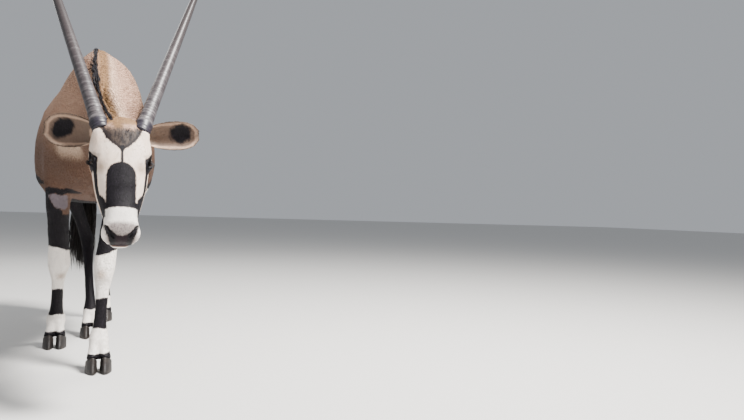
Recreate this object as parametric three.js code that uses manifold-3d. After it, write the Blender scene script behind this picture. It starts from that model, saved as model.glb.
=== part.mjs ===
// Gemsbok: a still, life-size model in a slow walk with its head lowered.
// Millimetres, +Z up. The animal faces -Y and its left side is +X.

import * as THREE from "three";
import * as BufferGeometryUtils from "three/addons/utils/BufferGeometryUtils.js";
import Module from "manifold-3d";

const wasm = await Module();
wasm.setup();

// Driving dimensions
const GAP = 0.3;                 // clearance between parts that touch
const ORIGIN = [76, 158.8];      // the floor point under the middle of the whole model
const HEAD_AT = [71, -640, 818]; // forehead between the horns
const HEAD_TILT = -22;           // degrees: the muzzle leads, the horns trail
const HEAD_TURN = 1.2;           // degrees towards the animal's left
const HEAD_ROLL = -0.3;          // degrees, the chin towards the animal's left
const EYE_AT = [66, 42, -106];   // left eye, in the head's own frame
const EYE_RADIUS = 19;
const EYE_SIDES = 12;            // an even number
const EYE_LOOK = [0.8, -0.58, 0.1];
const LID_THICKNESS = 4;
const HORN_LENGTH = 950;
const HORN_RADIUS = 22.5;
const HORN_ROOT = [54, 34, -6];  // left horn, in the head's own frame
const HORN_LEAN = 15;            // degrees back from the line of the face
const HORN_SPREAD = { "1": 16.8, "-1": 13.2 }; // degrees out from the middle plane, left, right
const HORN_RINGS = 13;
const HORN_RINGED = 0.36;        // share of the length that carries rings
const HORN_STEPS = 8;            // sections of the smooth part
const EAR_WALL = 4.5;
const EAR_CUT = 78;              // distance from the middle plane where an ear leaves the head
const HOOF_LENGTH = 98;
const HOOF_HALF_WIDTH = 20;
const TOE_SPACING = 43;          // between the middles of a foot's two toes
const NECK_CUT = -150;           // where the neck leaves the torso
const NAPE_CUT = -520;           // where the head leaves the neck
const ELBOW_CUT = 664;           // height where a foreleg leaves the torso
const STIFLE_CUT = 742;          // height where a hind leg leaves the torso

const DEGREE = Math.PI / 180;

// Shared helpers

// Repeatable draws between -1 and 1.
function randomSource(seed) {
  let state = seed;
  return () => {
    state = (state * 1664525 + 1013904223) % 4294967296;
    return (state / 4294967296) * 2 - 1;
  };
}

// Rows of numbers with rounded in-between rows added.
function smooth(rows, steps) {
  const out = [];
  for (let i = 0; i < rows.length - 1; i++) {
    const before = rows[Math.max(i - 1, 0)];
    const after = rows[Math.min(i + 2, rows.length - 1)];
    for (let k = 0; k < steps; k++) {
      const t = k / steps;
      out.push(rows[i].map((from, n) => {
        const to = rows[i + 1][n];
        const leave = (to - before[n]) / 2;
        const arrive = (after[n] - from) / 2;
        const t2 = t * t;
        const t3 = t2 * t;
        return (2 * t3 - 3 * t2 + 1) * from + (t3 - 2 * t2 + t) * leave
          + (3 * t2 - 2 * t3) * to + (t3 - t2) * arrive;
      }));
    }
  }
  out.push(rows[rows.length - 1]);
  return out;
}

const X_AXIS = new THREE.Vector3(1, 0, 0);

// Each row is a cross section: x, y, z of its centre, half width along the side axis,
// half depth in front, half depth behind, a power for the front half (2 round, less is
// peaked) and one for the half behind.
// With a clearance the form is that much larger all round.
function loft(rows, sides, sideAxis = X_AXIS, clearance = 0) {
  const centres = rows.map((row) => new THREE.Vector3(row[0], row[1], row[2]));
  const positions = [];
  const faces = [];
  rows.forEach((row, i) => {
    const [, , , half, front, back, frontPower = 2, backPower = frontPower] = row;
    const ahead = centres[Math.min(i + 1, rows.length - 1)];
    const tangent = ahead.clone().sub(centres[Math.max(i - 1, 0)]).normalize();
    const side = sideAxis.clone().addScaledVector(tangent, -sideAxis.dot(tangent)).normalize();
    const forward = tangent.clone().cross(side);
    for (let k = 0; k < sides; k++) {
      const angle = (k + 0.5) / sides * 2 * Math.PI;
      const across = Math.cos(angle);
      const along = Math.sin(angle);
      const power = along > 0 ? frontPower : backPower;
      const depth = along > 0 ? front : back;
      const a = half * Math.sign(across) * Math.abs(across) ** (2 / power);
      const b = depth * Math.sign(along) * Math.abs(along) ** (2 / power);
      const point = centres[i].clone().addScaledVector(side, a).addScaledVector(forward, b);
      positions.push(point.x, point.y, point.z);
    }
  });
  const last = rows.length - 1;
  for (let i = 0; i < last; i++) {
    for (let k = 0; k < sides; k++) {
      const next = (k + 1) % sides;
      const a = i * sides + k;
      const b = i * sides + next;
      faces.push(a, b, b + sides, a, b + sides, a + sides);
    }
  }
  const firstPole = positions.length / 3;
  positions.push(...centres[0].toArray(), ...centres[last].toArray());
  for (let k = 0; k < sides; k++) {
    const next = (k + 1) % sides;
    faces.push(firstPole, next, k);
    faces.push(firstPole + 1, last * sides + k, last * sides + next);
  }
  const geometry = closedMesh(positions, faces);
  return clearance ? swollen(geometry, clearance) : geometry;
}

function closedMesh(positions, faces) {
  const geometry = new THREE.BufferGeometry();
  geometry.setAttribute("position", new THREE.Float32BufferAttribute(positions, 3));
  geometry.setIndex(faces);
  return geometry;
}

// The same mesh with every corner moved out along its normal.
function swollen(geometry, distance) {
  geometry.computeVertexNormals();
  const { position, normal } = geometry.attributes;
  for (let i = 0; i < position.count; i++) {
    position.setXYZ(
      i,
      position.getX(i) + distance * normal.getX(i),
      position.getY(i) + distance * normal.getY(i),
      position.getZ(i) + distance * normal.getZ(i),
    );
  }
  return geometry;
}

// A closed solid for joining and cutting.
function solid(geometry) {
  const bare = geometry.clone();
  bare.deleteAttribute("normal");
  bare.deleteAttribute("uv");
  const merged = BufferGeometryUtils.mergeVertices(bare, 1e-3);
  const made = new wasm.Manifold(new wasm.Mesh({
    numProp: 3,
    vertProperties: new Float32Array(merged.attributes.position.array),
    triVerts: new Uint32Array(merged.index.array),
  }));
  return made;
}

function join(solids) {
  return solids.reduce((whole, piece) => whole.add(piece));
}

// The part of a solid on the side of a plane that its normal points to.
function beyond(whole, point, normal, clearance = GAP / 2) {
  const direction = new THREE.Vector3(...normal).normalize();
  const offset = direction.dot(new THREE.Vector3(...point));
  return whole.trimByPlane(direction.toArray(), offset + clearance);
}

function flip(normal) {
  return normal.map((value) => -value);
}

// The outer surface of the largest body, as a geometry.
function surface(whole) {
  const bodies = whole.decompose();
  const largest = bodies.reduce((best, body) => (body.volume() > best.volume() ? body : best));
  const mesh = largest.getMesh();
  const geometry = closedMesh([...mesh.vertProperties], [...mesh.triVerts]);
  const merged = BufferGeometryUtils.mergeVertices(geometry, 1e-3);
  merged.computeVertexNormals();
  return merged;
}

// Rows of a form that is described by its own upright measures:
// y, top, bottom, height of the widest level, half width, powers above and below, and
// how far it lies to the left.
function uprightRows(table) {
  return table.map(([y, top, bottom, level, half, powerAbove, powerBelow, shift]) => [
    shift, y, level, half, top - level, level - bottom, powerAbove, powerBelow,
  ]);
}

// Torso

// y, top, bottom, widest level, half width, powers above and below, shift to the left
const TORSO_TABLE = [
  [984, 985, 890, 935, 40, 2.0, 2.0, 0],
  [965, 1030, 860, 940, 84, 2.0, 2.0, 0],
  [915, 1082, 826, 940, 128, 2.0, 2.0, 0],
  [840, 1118, 790, 920, 156, 2.0, 2.0, 0],
  [745, 1132, 738, 890, 178, 2.0, 2.0, 2],
  [640, 1127, 655, 856, 208, 2.0, 2.2, 5],
  [520, 1118, 596, 836, 234, 1.95, 2.9, 7],
  [380, 1118, 582, 828, 242, 1.85, 3.3, 8],
  [230, 1136, 588, 832, 226, 1.65, 3.1, 8],
  [90, 1164, 600, 838, 194, 1.38, 2.8, 6],
  [0, 1176, 610, 845, 172, 1.3, 2.5, 4],
  [-90, 1154, 624, 848, 152, 1.45, 2.5, 2],
  [-165, 1105, 652, 845, 128, 1.9, 2.3, 2],
  [-215, 1040, 700, 845, 92, 2.0, 2.1, 2],
  [-238, 950, 768, 850, 50, 2.0, 2.0, 2],
];

function makeBarrelForm(clearance = 0) {
  return solid(loft(smooth(uprightRows(TORSO_TABLE), 2), 20, X_AXIS, clearance));
}

// Neck, bending to the animal's left on its way down to the head

// x, y, z, half width, half depth above, half depth below, power
const NECK_ROWS = [
  [2, 10, 955, 118, 190, 225, 1.8],
  [12, -70, 948, 134, 196, 240, 1.8],
  [21, -160, 922, 135, 190, 214, 2.05],
  [38, -260, 884, 118, 168, 176, 2.2],
  [56, -355, 846, 104, 144, 150, 2.2],
  [66, -440, 812, 90, 120, 130, 2.1],
  [71, -512, 786, 76, 96, 108, 2.0],
  [72, -572, 768, 62, 70, 88, 2.0],
];

function makeNeckForm(clearance = 0) {
  return solid(loft(smooth(NECK_ROWS, 2), 20, X_AXIS, clearance));
}

// Mane: short flat locks that lean back along the crest of the neck
const MANE_LOCKS = 15;
const MANE_FROM = 0.31;          // shares of the crest's length
const MANE_TO = 0.74;
const MANE_HEIGHT = 20;
const MANE_REACH = 62;
const MANE_ROOT = 20;

// A flat lock that tapers and bends from its root to its tip.
function lock(root, middle, tip, half, thickness, sideAxis, steps = 3) {
  const curve = new THREE.QuadraticBezierCurve3(root, middle, tip);
  const rows = [];
  for (let i = 0; i <= steps; i++) {
    const t = i / steps;
    const point = curve.getPoint(t);
    const taper = 0.12 + 0.88 * Math.sqrt(Math.max(1 - t * t, 0));
    rows.push([...point.toArray(), half * taper, thickness * taper, thickness * taper, 2]);
  }
  return solid(loft(rows, 4, sideAxis));
}

// The crest of the neck, from the withers to the poll.
const CREST = new THREE.CatmullRomCurve3([
  new THREE.Vector3(0, 130, 1140),
  new THREE.Vector3(0, 20, 1156),
  new THREE.Vector3(-2, -120, 1122),
  new THREE.Vector3(-4, -270, 1060),
  new THREE.Vector3(2, -400, 975),
  new THREE.Vector3(30, -500, 905),
  new THREE.Vector3(54, -555, 858),
]);

function makeManeLocks() {
  const draw = randomSource(7);
  const locks = [];
  for (let i = 0; i < MANE_LOCKS; i++) {
    const t = MANE_FROM + (MANE_TO - MANE_FROM) * i / (MANE_LOCKS - 1);
    const seat = CREST.getPoint(t);
    const towardsTail = CREST.getTangent(t).negate();
    const lift = new THREE.Vector3(0, -towardsTail.z, towardsTail.y).normalize();
    const lean = new THREE.Vector3((i % 2 ? 5 : -5) + 2 * draw(), 0, 0);
    const height = MANE_HEIGHT * (1 + 0.15 * draw());
    const root = seat.clone().addScaledVector(lift, -MANE_ROOT).addScaledVector(lean, 0.5);
    const middle = seat.clone().addScaledVector(lift, height * 0.75)
      .addScaledVector(towardsTail, MANE_REACH * 0.25).add(lean);
    const tip = seat.clone().addScaledVector(lift, height * 0.65)
      .addScaledVector(towardsTail, MANE_REACH).addScaledVector(lean, 1.6);
    locks.push(lock(root, middle, tip, 9, 17, X_AXIS));
  }
  return join(locks);
}

// Legs

// Joints of each leg from the top of the shoulder or the hip: point of the shoulder or middle
// of the thigh, elbow or stifle, knee or hock, fetlock, middle of the foot.
const LEGS = {
  foreleg_left: {
    joints: [
      [66, 55, 1110], [116, -92, 850], [90, -35, 695], [44, -128, 356], [34, -172, 108],
      [35, -212, 34],
    ],
    table: "front",
    girth: 1,
    cut: ELBOW_CUT,
  },
  foreleg_right: {
    joints: [
      [-50, 70, 1085], [-128, -70, 850], [-126, 40, 695], [-115, 158, 358], [-125, 292, 110],
      [-126, 252, 34],
    ],
    table: "front",
    girth: 1.09,
    cut: ELBOW_CUT,
  },
  hindleg_left: {
    joints: [
      [86, 850, 1060], [120, 790, 925], [130, 655, 715], [92, 872, 438], [66, 924, 112],
      [64, 884, 34],
    ],
    table: "hind",
    girth: 1,
    cut: STIFLE_CUT,
  },
  hindleg_right: {
    joints: [
      [-86, 850, 1060], [-120, 780, 925], [-126, 590, 735], [-20, 656, 424], [6, 486, 108],
      [8, 444, 34],
    ],
    table: "hind",
    girth: 1,
    cut: STIFLE_CUT,
  },
};

// bone, share of the way along it, half width, half depth in front, half depth behind
const LEG_TABLES = {
  front: [
    [0, 0.0, 22, 50, 60],
    [0, 0.35, 40, 78, 110],
    [0, 0.7, 46, 84, 130],
    [1, 0.0, 47, 72, 126],
    [1, 0.5, 50, 72, 104],
    [2, 0.0, 46, 58, 74],
    [2, 0.22, 42, 47, 54],
    [2, 0.5, 37, 38, 40],
    [2, 0.78, 33, 32, 31],
    [2, 0.92, 37, 35, 32],
    [3, 0.0, 40, 38, 34],
    [3, 0.13, 35, 31, 33],
    [3, 0.26, 24, 21, 28],
    [3, 0.55, 20, 18, 25],
    [3, 0.82, 23, 20, 27],
    [3, 0.93, 30, 25, 31],
    [4, 0.0, 34, 28, 33],
    [4, 0.25, 32, 27, 30],
  ],
  hind: [
    [0, 0.0, 40, 70, 80],
    [0, 0.5, 62, 120, 110],
    [1, 0.0, 72, 142, 132],
    [1, 0.45, 72, 122, 134],
    [2, 0.0, 56, 76, 112],
    [2, 0.25, 43, 52, 80],
    [2, 0.5, 33, 36, 54],
    [2, 0.75, 26, 27, 42],
    [2, 0.92, 27, 26, 40],
    [3, 0.0, 31, 29, 42],
    [3, 0.12, 27, 27, 34],
    [3, 0.26, 21, 22, 27],
    [3, 0.55, 19, 20, 24],
    [3, 0.82, 21, 20, 26],
    [3, 0.93, 28, 24, 30],
    [4, 0.0, 33, 28, 32],
    [4, 0.25, 31, 27, 29],
  ],
};

function legRows(leg) {
  return LEG_TABLES[leg.table].map(([bone, share, half, front, back]) => {
    const from = leg.joints[bone];
    const to = leg.joints[bone + 1];
    const centre = from.map((value, n) => value + (to[n] - value) * share);
    const girth = bone > 1 ? leg.girth : 1;
    return [...centre, half * girth, front * girth, back * girth, 2];
  });
}

// The plane of the two coronets: it leans so that the toe side is higher.
const CORONET_HEIGHT = 47;
const CORONET_NORMAL = [0, 0.42, 1];

function makeLimbForm(leg, clearance = 0) {
  return solid(loft(legRows(leg), 12, X_AXIS, clearance));
}

function makeLegSolid(leg) {
  const [footX, footY] = leg.joints[5];
  const [fetlockX, fetlockY, fetlockZ] = leg.joints[4];
  const pieces = [makeLimbForm(leg)];
  for (const side of [-1, 1]) {
    const toeX = footX + side * TOE_SPACING / 2;
    const digit = loft(smooth([
      [fetlockX + side * 9, fetlockY - 2, fetlockZ + 6, 20, 24, 26, 2],
      [(fetlockX + toeX) / 2 + side * 4, (fetlockY + footY) / 2, 74, 20, 23, 25, 2],
      [toeX, footY + 4, 44, 19, 30, 28, 2],
      [toeX, footY - 4, 26, 19, 34, 30, 2],
    ], 2), 10);
    const dewclaw = loft([
      [fetlockX + side * 16, fetlockY + 12, fetlockZ - 4, 9, 9, 9, 2],
      [fetlockX + side * 19, fetlockY + 34, fetlockZ - 16, 8, 8, 8, 2],
      [fetlockX + side * 20, fetlockY + 42, fetlockZ - 30, 3, 4, 4, 2],
    ], 8);
    pieces.push(solid(digit), solid(dewclaw));
  }
  return beyond(join(pieces), [footX, footY, CORONET_HEIGHT], CORONET_NORMAL);
}

// The barrel with the shoulders and thighs that belong to it.
function makeTrunkForm(clearance = 0) {
  const tops = Object.values(LEGS).map((leg) => (
    beyond(makeLimbForm(leg, clearance), [0, 0, leg.cut], [0, 0, 1])
  ));
  return join([makeBarrelForm(clearance), ...tops]);
}

// Hooves

// One toe: egg-shaped on the ground, narrowing to the coronet, flat underneath.
function makeHoofGeometry(side) {
  const rings = [[0, 0, 1], [8, 1, 1], [34, 9, 0.86], [80, 20, 0.7]];
  const sides = 12;
  const positions = [];
  const faces = [];
  for (const [height, back, size] of rings) {
    for (let k = 0; k < sides; k++) {
      const angle = k / sides * 2 * Math.PI;
      const toe = Math.cos(angle);
      const y = -toe * HOOF_LENGTH / 2 * size + back;
      const bulge = side * Math.sin(angle) > 0 ? 1.12 : 0.88;
      const x = Math.sin(angle) * HOOF_HALF_WIDTH * (1 - 0.3 * toe) * bulge * (0.6 + 0.4 * size);
      positions.push(x - side * 3 * Math.max(toe, 0), y, height);
    }
  }
  const last = rings.length - 1;
  for (let i = 0; i < last; i++) {
    for (let k = 0; k < sides; k++) {
      const next = (k + 1) % sides;
      const a = i * sides + k;
      const b = i * sides + next;
      faces.push(a, b, b + sides, a, b + sides, a + sides);
    }
  }
  const pole = positions.length / 3;
  positions.push(0, 0, 0, 0, rings[last][1], rings[last][0]);
  for (let k = 0; k < sides; k++) {
    const next = (k + 1) % sides;
    faces.push(pole, next, k, pole + 1, last * sides + k, last * sides + next);
  }
  const whole = solid(closedMesh(positions, faces));
  return surface(beyond(whole, [0, 0, CORONET_HEIGHT], flip(CORONET_NORMAL)));
}

// Tail

const TAIL_CUT = [0, 968, 1040];
const PLUME_CUT = 905;           // height where the plume leaves the dock
const DOCK_ROWS = [
  [0, 900, 1050, 30, 26, 26, 2],
  [0, 960, 1046, 28, 25, 25, 2],
  [-4, 1006, 1004, 24, 22, 22, 2],
  [-12, 1024, 930, 20, 18, 18, 2],
  [-22, 1030, 850, 17, 15, 15, 2],
  [-32, 1030, 770, 13, 12, 12, 2],
];
const PLUME_CORE_ROWS = [
  [-14, 1026, 915, 17, 15, 15, 2],
  [-22, 1030, 850, 26, 22, 22, 2],
  [-33, 1031, 740, 36, 28, 28, 2],
  [-40, 1030, 640, 38, 28, 28, 2],
  [-43, 1029, 560, 30, 22, 22, 2],
];
const PLUME_LOCKS = 18;
const PLUME_TIP = [-46, 1028, 200];

function makeTailSolid() {
  const draw = randomSource(23);
  const pieces = [
    solid(loft(smooth(DOCK_ROWS, 2), 12)),
    solid(loft(smooth(PLUME_CORE_ROWS, 2), 12)),
  ];
  for (let i = 0; i < PLUME_LOCKS; i++) {
    const angle = i * 2.399963;
    const share = (i + 0.5) / PLUME_LOCKS;
    const out = new THREE.Vector3(Math.cos(angle), Math.sin(angle) * 0.75, 0);
    const rootHeight = 640 + 190 * share;
    const root = new THREE.Vector3(-24 - 18 * (1 - share), 1030, rootHeight).addScaledVector(out, 6);
    const reach = 26 + 46 * (1 - 0.5 * share) + 6 * draw();
    const tip = new THREE.Vector3(PLUME_TIP[0], PLUME_TIP[1], PLUME_TIP[2] + 260 * share + 22 * draw())
      .addScaledVector(out, reach);
    const middle = root.clone().lerp(tip, 0.42).addScaledVector(out, 30 + 5 * draw());
    const sideAxis = new THREE.Vector3(-out.y, out.x, 0).normalize();
    pieces.push(lock(root, middle, tip, 15, 6, sideAxis, 4));
  }
  return join(pieces);
}

// Head, in its own frame: the face lies in the plane y = 0 and looks along -Y

// z, front of the face, back of the jaw, widest level, half width, power
const HEAD_TABLE = [
  [34, 76, 128, 96, 26, 2.0],
  [26, 42, 150, 92, 56, 2.0],
  [8, 12, 172, 82, 76, 2.1],
  [-22, -2, 190, 76, 84, 2.2],
  [-62, -6, 195, 68, 88, 2.2],
  [-96, -7, 190, 62, 87, 2.2],
  [-126, -5, 182, 62, 79, 2.2],
  [-160, -2, 170, 66, 74, 2.2],
  [-194, 0, 152, 68, 67, 2.2],
  [-226, 1, 130, 62, 58, 2.3],
  [-258, 1, 110, 54, 49, 2.4],
  [-280, 0, 98, 50, 45, 2.4],
  [-300, 1, 90, 46, 48, 2.4],
  [-318, 3, 88, 46, 53, 2.3],
  [-338, 11, 80, 46, 46, 2.2],
  [-350, 24, 66, 46, 28, 2.0],
];

// The lower jaw and chin, a separate rounded form, so that a line of the mouth stays between.
const JAW_TABLE = [
  [-60, 120, 196, 160, 44, 2.0],
  [-130, 100, 184, 146, 46, 2.0],
  [-200, 84, 160, 124, 40, 2.0],
  [-260, 80, 136, 108, 35, 2.0],
  [-300, 78, 122, 100, 33, 2.0],
  [-326, 76, 116, 96, 32, 2.0],
  [-342, 80, 108, 94, 22, 2.0],
];

function headRows(table) {
  return table.map(([z, front, back, level, half, power]) => [
    0, level, z, half, level - front, back - level, power,
  ]);
}

function makeNostril(side) {
  return solid(loft(smooth([
    [side * 44, 14, -306, 4, 5, 5, 2],
    [side * 37, 4, -315, 8, 7, 7, 2],
    [side * 29, 3, -329, 7, 6, 6, 2],
    [side * 20, 9, -343, 4, 5, 5, 2],
  ], 2), 8, new THREE.Vector3(0.6 * side, 0, -0.8)));
}

// A groove on each side between the upper lip and the jaw.
function makeMouthLine(side) {
  return solid(loft(smooth([
    [side * 12, 60, -352, 14, 3, 3, 2],
    [side * 32, 68, -342, 12, 3, 3, 2],
    [side * 44, 80, -318, 9, 3, 3, 2],
    [side * 47, 88, -284, 6, 2.5, 2.5, 2],
    [side * 49, 92, -250, 3, 2, 2, 2],
  ], 2), 8));
}

function makeBall(centre, radius, sides = EYE_SIDES) {
  const ball = new THREE.SphereGeometry(radius, sides, sides / 2 + 1);
  ball.translate(...centre);
  return solid(ball);
}

function eyeCentre(side) {
  return [side * EYE_AT[0], EYE_AT[1], EYE_AT[2]];
}

// The almond opening between the lids, pointing along the look of the eye.
function makeLidOpening(side) {
  const look = new THREE.Vector3(side * EYE_LOOK[0], EYE_LOOK[1], EYE_LOOK[2]).normalize();
  const start = new THREE.Vector3(...eyeCentre(side)).addScaledVector(look, 6);
  const end = start.clone().addScaledVector(look, 40);
  const long = new THREE.Vector3(0, -0.35, 1).normalize();
  return solid(loft([
    [...start.toArray(), 17, 11, 11, 1.7],
    [...end.toArray(), 22, 15, 15, 1.7],
  ], 14, long.clone().cross(look).cross(look).negate()));
}

// Skull and jaw without the openings.
function makeHeadForm(clearance = 0) {
  const skull = solid(loft(smooth(headRows(HEAD_TABLE), 2), 18, X_AXIS, clearance));
  const jaw = solid(loft(headRows(JAW_TABLE), 12, X_AXIS, clearance));
  return skull.add(jaw);
}

function makeHeadSolid() {
  let head = makeHeadForm();
  for (const side of [-1, 1]) {
    const lids = makeBall(eyeCentre(side), EYE_RADIUS + LID_THICKNESS);
    head = head.add(lids);
  }
  for (const side of [-1, 1]) {
    head = head.subtract(makeLidOpening(side));
    head = head.subtract(makeBall(eyeCentre(side), EYE_RADIUS + GAP));
    head = head.subtract(makeNostril(side));
    head = head.subtract(makeMouthLine(side));
  }
  return head;
}

// Ears: broad cups in the head's frame, each pointing out to its side and opening forwards and
// a little down. The left one is folded a little more, the right one is turned back.
const EAR_ROOT = [54, 88, 12];
const EARS = {
  "1": { length: 185, halfWidth: 47, aim: [1, 0.03, 0.12] },
  "-1": { length: 172, halfWidth: 52, aim: [-1, 0.36, 0.24] },
};
const EAR_OPEN = [-0.1, -0.87, -0.49]; // the left one's
const EAR_RINGS = 11;
const EAR_ARC = 7;                     // points from one edge of the cup to the other

// One cross section of an ear, as [depth behind the rim, height above the middle line].
function earSection(t, halfWidth) {
  const opening = 0.42 + 0.58 * Math.sin(Math.PI / 2 * Math.min(1, t / 0.6));
  const rounding = Math.sqrt(Math.max(1 - (Math.max(t - 0.6, 0) / 0.42) ** 2.4, 0.03));
  const half = halfWidth * opening * rounding;
  const cup = 34 * (1 - 0.6 * t) * Math.min(1, half / 30);
  const fill = Math.max(0, 1 - t * 4) * cup * 0.9;
  const angles = Array.from({ length: EAR_ARC }, (_, k) => Math.PI * (k / (EAR_ARC - 1) - 0.5));
  const outside = angles.map((angle) => [cup * Math.cos(angle), half * Math.sin(angle)]);
  const inside = angles.reverse().map((angle) => [
    Math.max(cup * Math.cos(angle) - EAR_WALL * 1.4 - fill, -EAR_WALL),
    (half - EAR_WALL * 0.6) * Math.sin(angle),
  ]);
  return [...outside, ...inside];
}

function makeEarSolid(side) {
  const { length, halfWidth, aim } = EARS[side];
  const along = new THREE.Vector3(...aim).normalize();
  const open = new THREE.Vector3(side * EAR_OPEN[0], EAR_OPEN[1], EAR_OPEN[2]);
  open.addScaledVector(along, -open.dot(along)).normalize();
  const up = open.clone().cross(along).multiplyScalar(side);
  const root = new THREE.Vector3(side * EAR_ROOT[0], EAR_ROOT[1], EAR_ROOT[2]);
  const positions = [];
  const faces = [];
  for (let i = 0; i <= EAR_RINGS; i++) {
    const centre = root.clone().addScaledVector(along, length * i / EAR_RINGS);
    for (const [back, height] of earSection(i / EAR_RINGS, halfWidth)) {
      const point = centre.clone().addScaledVector(open, -back).addScaledVector(up, height);
      positions.push(point.x, point.y, point.z);
    }
  }
  const count = 2 * EAR_ARC;
  for (let i = 0; i < EAR_RINGS; i++) {
    for (let k = 0; k < count; k++) {
      const next = (k + 1) % count;
      const a = i * count + k;
      const b = i * count + next;
      if (side > 0) {
        faces.push(a, b, b + count, a, b + count, a + count);
      } else {
        faces.push(b, a, b + count, b + count, a, a + count);
      }
    }
  }
  for (let k = 0; k < EAR_ARC - 1; k++) {
    const mate = count - 1 - k;
    const near = [k, k + 1, mate - 1, k, mate - 1, mate];
    const tipCap = near.map((value) => EAR_RINGS * count + value);
    faces.push(...(side > 0 ? near.reverse() : near));
    faces.push(...(side > 0 ? tipCap : tipCap.reverse()));
  }
  return solid(closedMesh(positions, faces));
}

// Horns: nearly straight, ringed on the lower part, smooth and pointed above

function makeHornSolid(side, clearance = 0) {
  const lean = HORN_LEAN * DEGREE;
  const spread = HORN_SPREAD[side] * DEGREE;
  const direction = new THREE.Vector3(
    side * Math.sin(spread),
    Math.cos(spread) * Math.sin(lean),
    Math.cos(spread) * Math.cos(lean),
  );
  const root = new THREE.Vector3(side * HORN_ROOT[0], HORN_ROOT[1], HORN_ROOT[2]);
  const bow = new THREE.Vector3(-side * 5, 22, -6);
  const shares = [];
  for (let i = 0; i <= HORN_RINGS * 2; i++) {
    shares.push(HORN_RINGED * (i / (HORN_RINGS * 2)) ** 1.2);
  }
  for (let i = 1; i <= HORN_STEPS; i++) {
    shares.push(HORN_RINGED + (1 - HORN_RINGED) * i / HORN_STEPS);
  }
  const rows = shares.map((t, i) => {
    const ringed = Math.max(0, 1 - t / HORN_RINGED);
    const ridge = (i % 2 ? 1.6 : -1.2) * ringed ** 0.6;
    const taper = (1 - 0.5 * t) * (1 - t ** 6) ** 0.8 + 0.03 * t;
    const radius = HORN_RADIUS * taper + ridge;
    const centre = root.clone().addScaledVector(direction, HORN_LENGTH * t)
      .addScaledVector(bow, 4 * t * (1 - t));
    return [...centre.toArray(), radius, radius * 1.04, radius * 1.04, 2];
  });
  return solid(loft(rows, 12, X_AXIS, clearance));
}

// Assembly

const group = new THREE.Group();
group.name = "gemsbok";
group.position.set(-ORIGIN[0], -ORIGIN[1], 0);

const headGroup = new THREE.Group();
headGroup.position.set(...HEAD_AT);
headGroup.rotation.set(HEAD_TILT * DEGREE, HEAD_ROLL * DEGREE, HEAD_TURN * DEGREE, "ZYX");
group.add(headGroup);

const COLOURS = {
  coat: 0xb09074,
  face: 0xe9e2d6,
  ear: 0x9a8068,
  leg: 0xded8cf,
  horn: 0x55504c,
  hoof: 0x2e2a28,
  eye: 0x120d0a,
  plume: 0x16120f,
};

function addPart(parent, name, geometry, colour, roughness) {
  const material = new THREE.MeshStandardMaterial({ color: colour, roughness, metalness: 0 });
  const mesh = new THREE.Mesh(geometry, material);
  mesh.name = name;
  parent.add(mesh);
  return mesh;
}

headGroup.updateMatrix();
const toBody = headGroup.matrix.toArray();
const toHead = headGroup.matrix.clone().invert().toArray();

// Neck, parted from the torso and from the head by two planes
const neckPlane = [0, NECK_CUT, 920];
const neckNormal = [0, -1, -0.22];
const napePlane = [66, NAPE_CUT, 800];
const napeNormal = [0, -0.8, -0.6];
const neckForm = makeNeckForm();
const neckBase = beyond(neckForm, neckPlane, flip(neckNormal));
const neckAhead = beyond(neckForm.add(makeManeLocks()), neckPlane, neckNormal);
const neckMiddle = beyond(neckAhead, napePlane, flip(napeNormal));
const nape = beyond(neckAhead, napePlane, napeNormal).transform(toHead);
const neckClearance = makeNeckForm(GAP * 1.5);
const neckForHead = neckClearance.transform(toHead);
const neckBehind = beyond(neckClearance, napePlane, flip(napeNormal), -GAP / 2)
  .transform(toHead);

// Head, ears, eyes and horns, in the head's frame
let headSolid = makeHeadSolid().add(nape);
const trunkClearance = makeTrunkForm(GAP * 1.5);
let neckNode = neckMiddle.subtract(trunkClearance)
  .subtract(makeHeadForm(GAP * 1.5).transform(toBody));
for (const [word, side] of [["left", 1], ["right", -1]]) {
  const ear = makeEarSolid(side);
  const earPlane = [side * EAR_CUT, 84, 0];
  const hornClearance = makeHornSolid(side, GAP);
  const earBase = beyond(ear, earPlane, [-side, 0, 0]).subtract(neckBehind);
  headSolid = headSolid.add(earBase).subtract(hornClearance);
  neckNode = neckNode.subtract(hornClearance.transform(toBody));
  const earNode = beyond(ear, earPlane, [side, 0, 0]).subtract(neckForHead)
    .subtract(makeHeadForm(GAP * 1.5)).subtract(hornClearance);
  addPart(headGroup, `ear_${word}`, surface(earNode), COLOURS.ear, 0.9);
  addPart(headGroup, `horn_${word}`, surface(makeHornSolid(side)), COLOURS.horn, 0.45);
  const eye = new THREE.SphereGeometry(EYE_RADIUS, EYE_SIDES, EYE_SIDES / 2 + 1);
  addPart(headGroup, `eye_${word}`, eye, COLOURS.eye, 0.08).position.set(...eyeCentre(side));
}
addPart(headGroup, "head", surface(headSolid), COLOURS.face, 0.9);
addPart(group, "neck", surface(neckNode), COLOURS.coat, 0.9);

// Torso with the tops of the legs and the root of the tail
let torsoSolid = makeTrunkForm().add(neckBase);
const tailWhole = makeTailSolid();
const tailNormal = [0, 1, -0.1];
torsoSolid = torsoSolid.add(beyond(tailWhole, TAIL_CUT, flip(tailNormal)));
for (const [name, leg] of Object.entries(LEGS)) {
  const legSolid = makeLegSolid(leg);
  const legNode = beyond(legSolid, [0, 0, leg.cut], [0, 0, -1]).subtract(trunkClearance);
  addPart(group, name, surface(legNode), COLOURS.leg, 0.9);
  const [footX, footY] = leg.joints[5];
  const bodySide = name.endsWith("left") ? 1 : -1;
  for (const side of [-1, 1]) {
    const place = side === bodySide ? "outer" : "inner";
    const hoof = addPart(group, `${name.replace("leg", "hoof")}_${place}`,
      makeHoofGeometry(side), COLOURS.hoof, 0.55);
    hoof.position.set(footX + side * TOE_SPACING / 2, footY, 0);
  }
}
addPart(group, "torso", surface(torsoSolid), COLOURS.coat, 0.9);
const tailNode = beyond(tailWhole, TAIL_CUT, tailNormal).subtract(trunkClearance);
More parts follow.
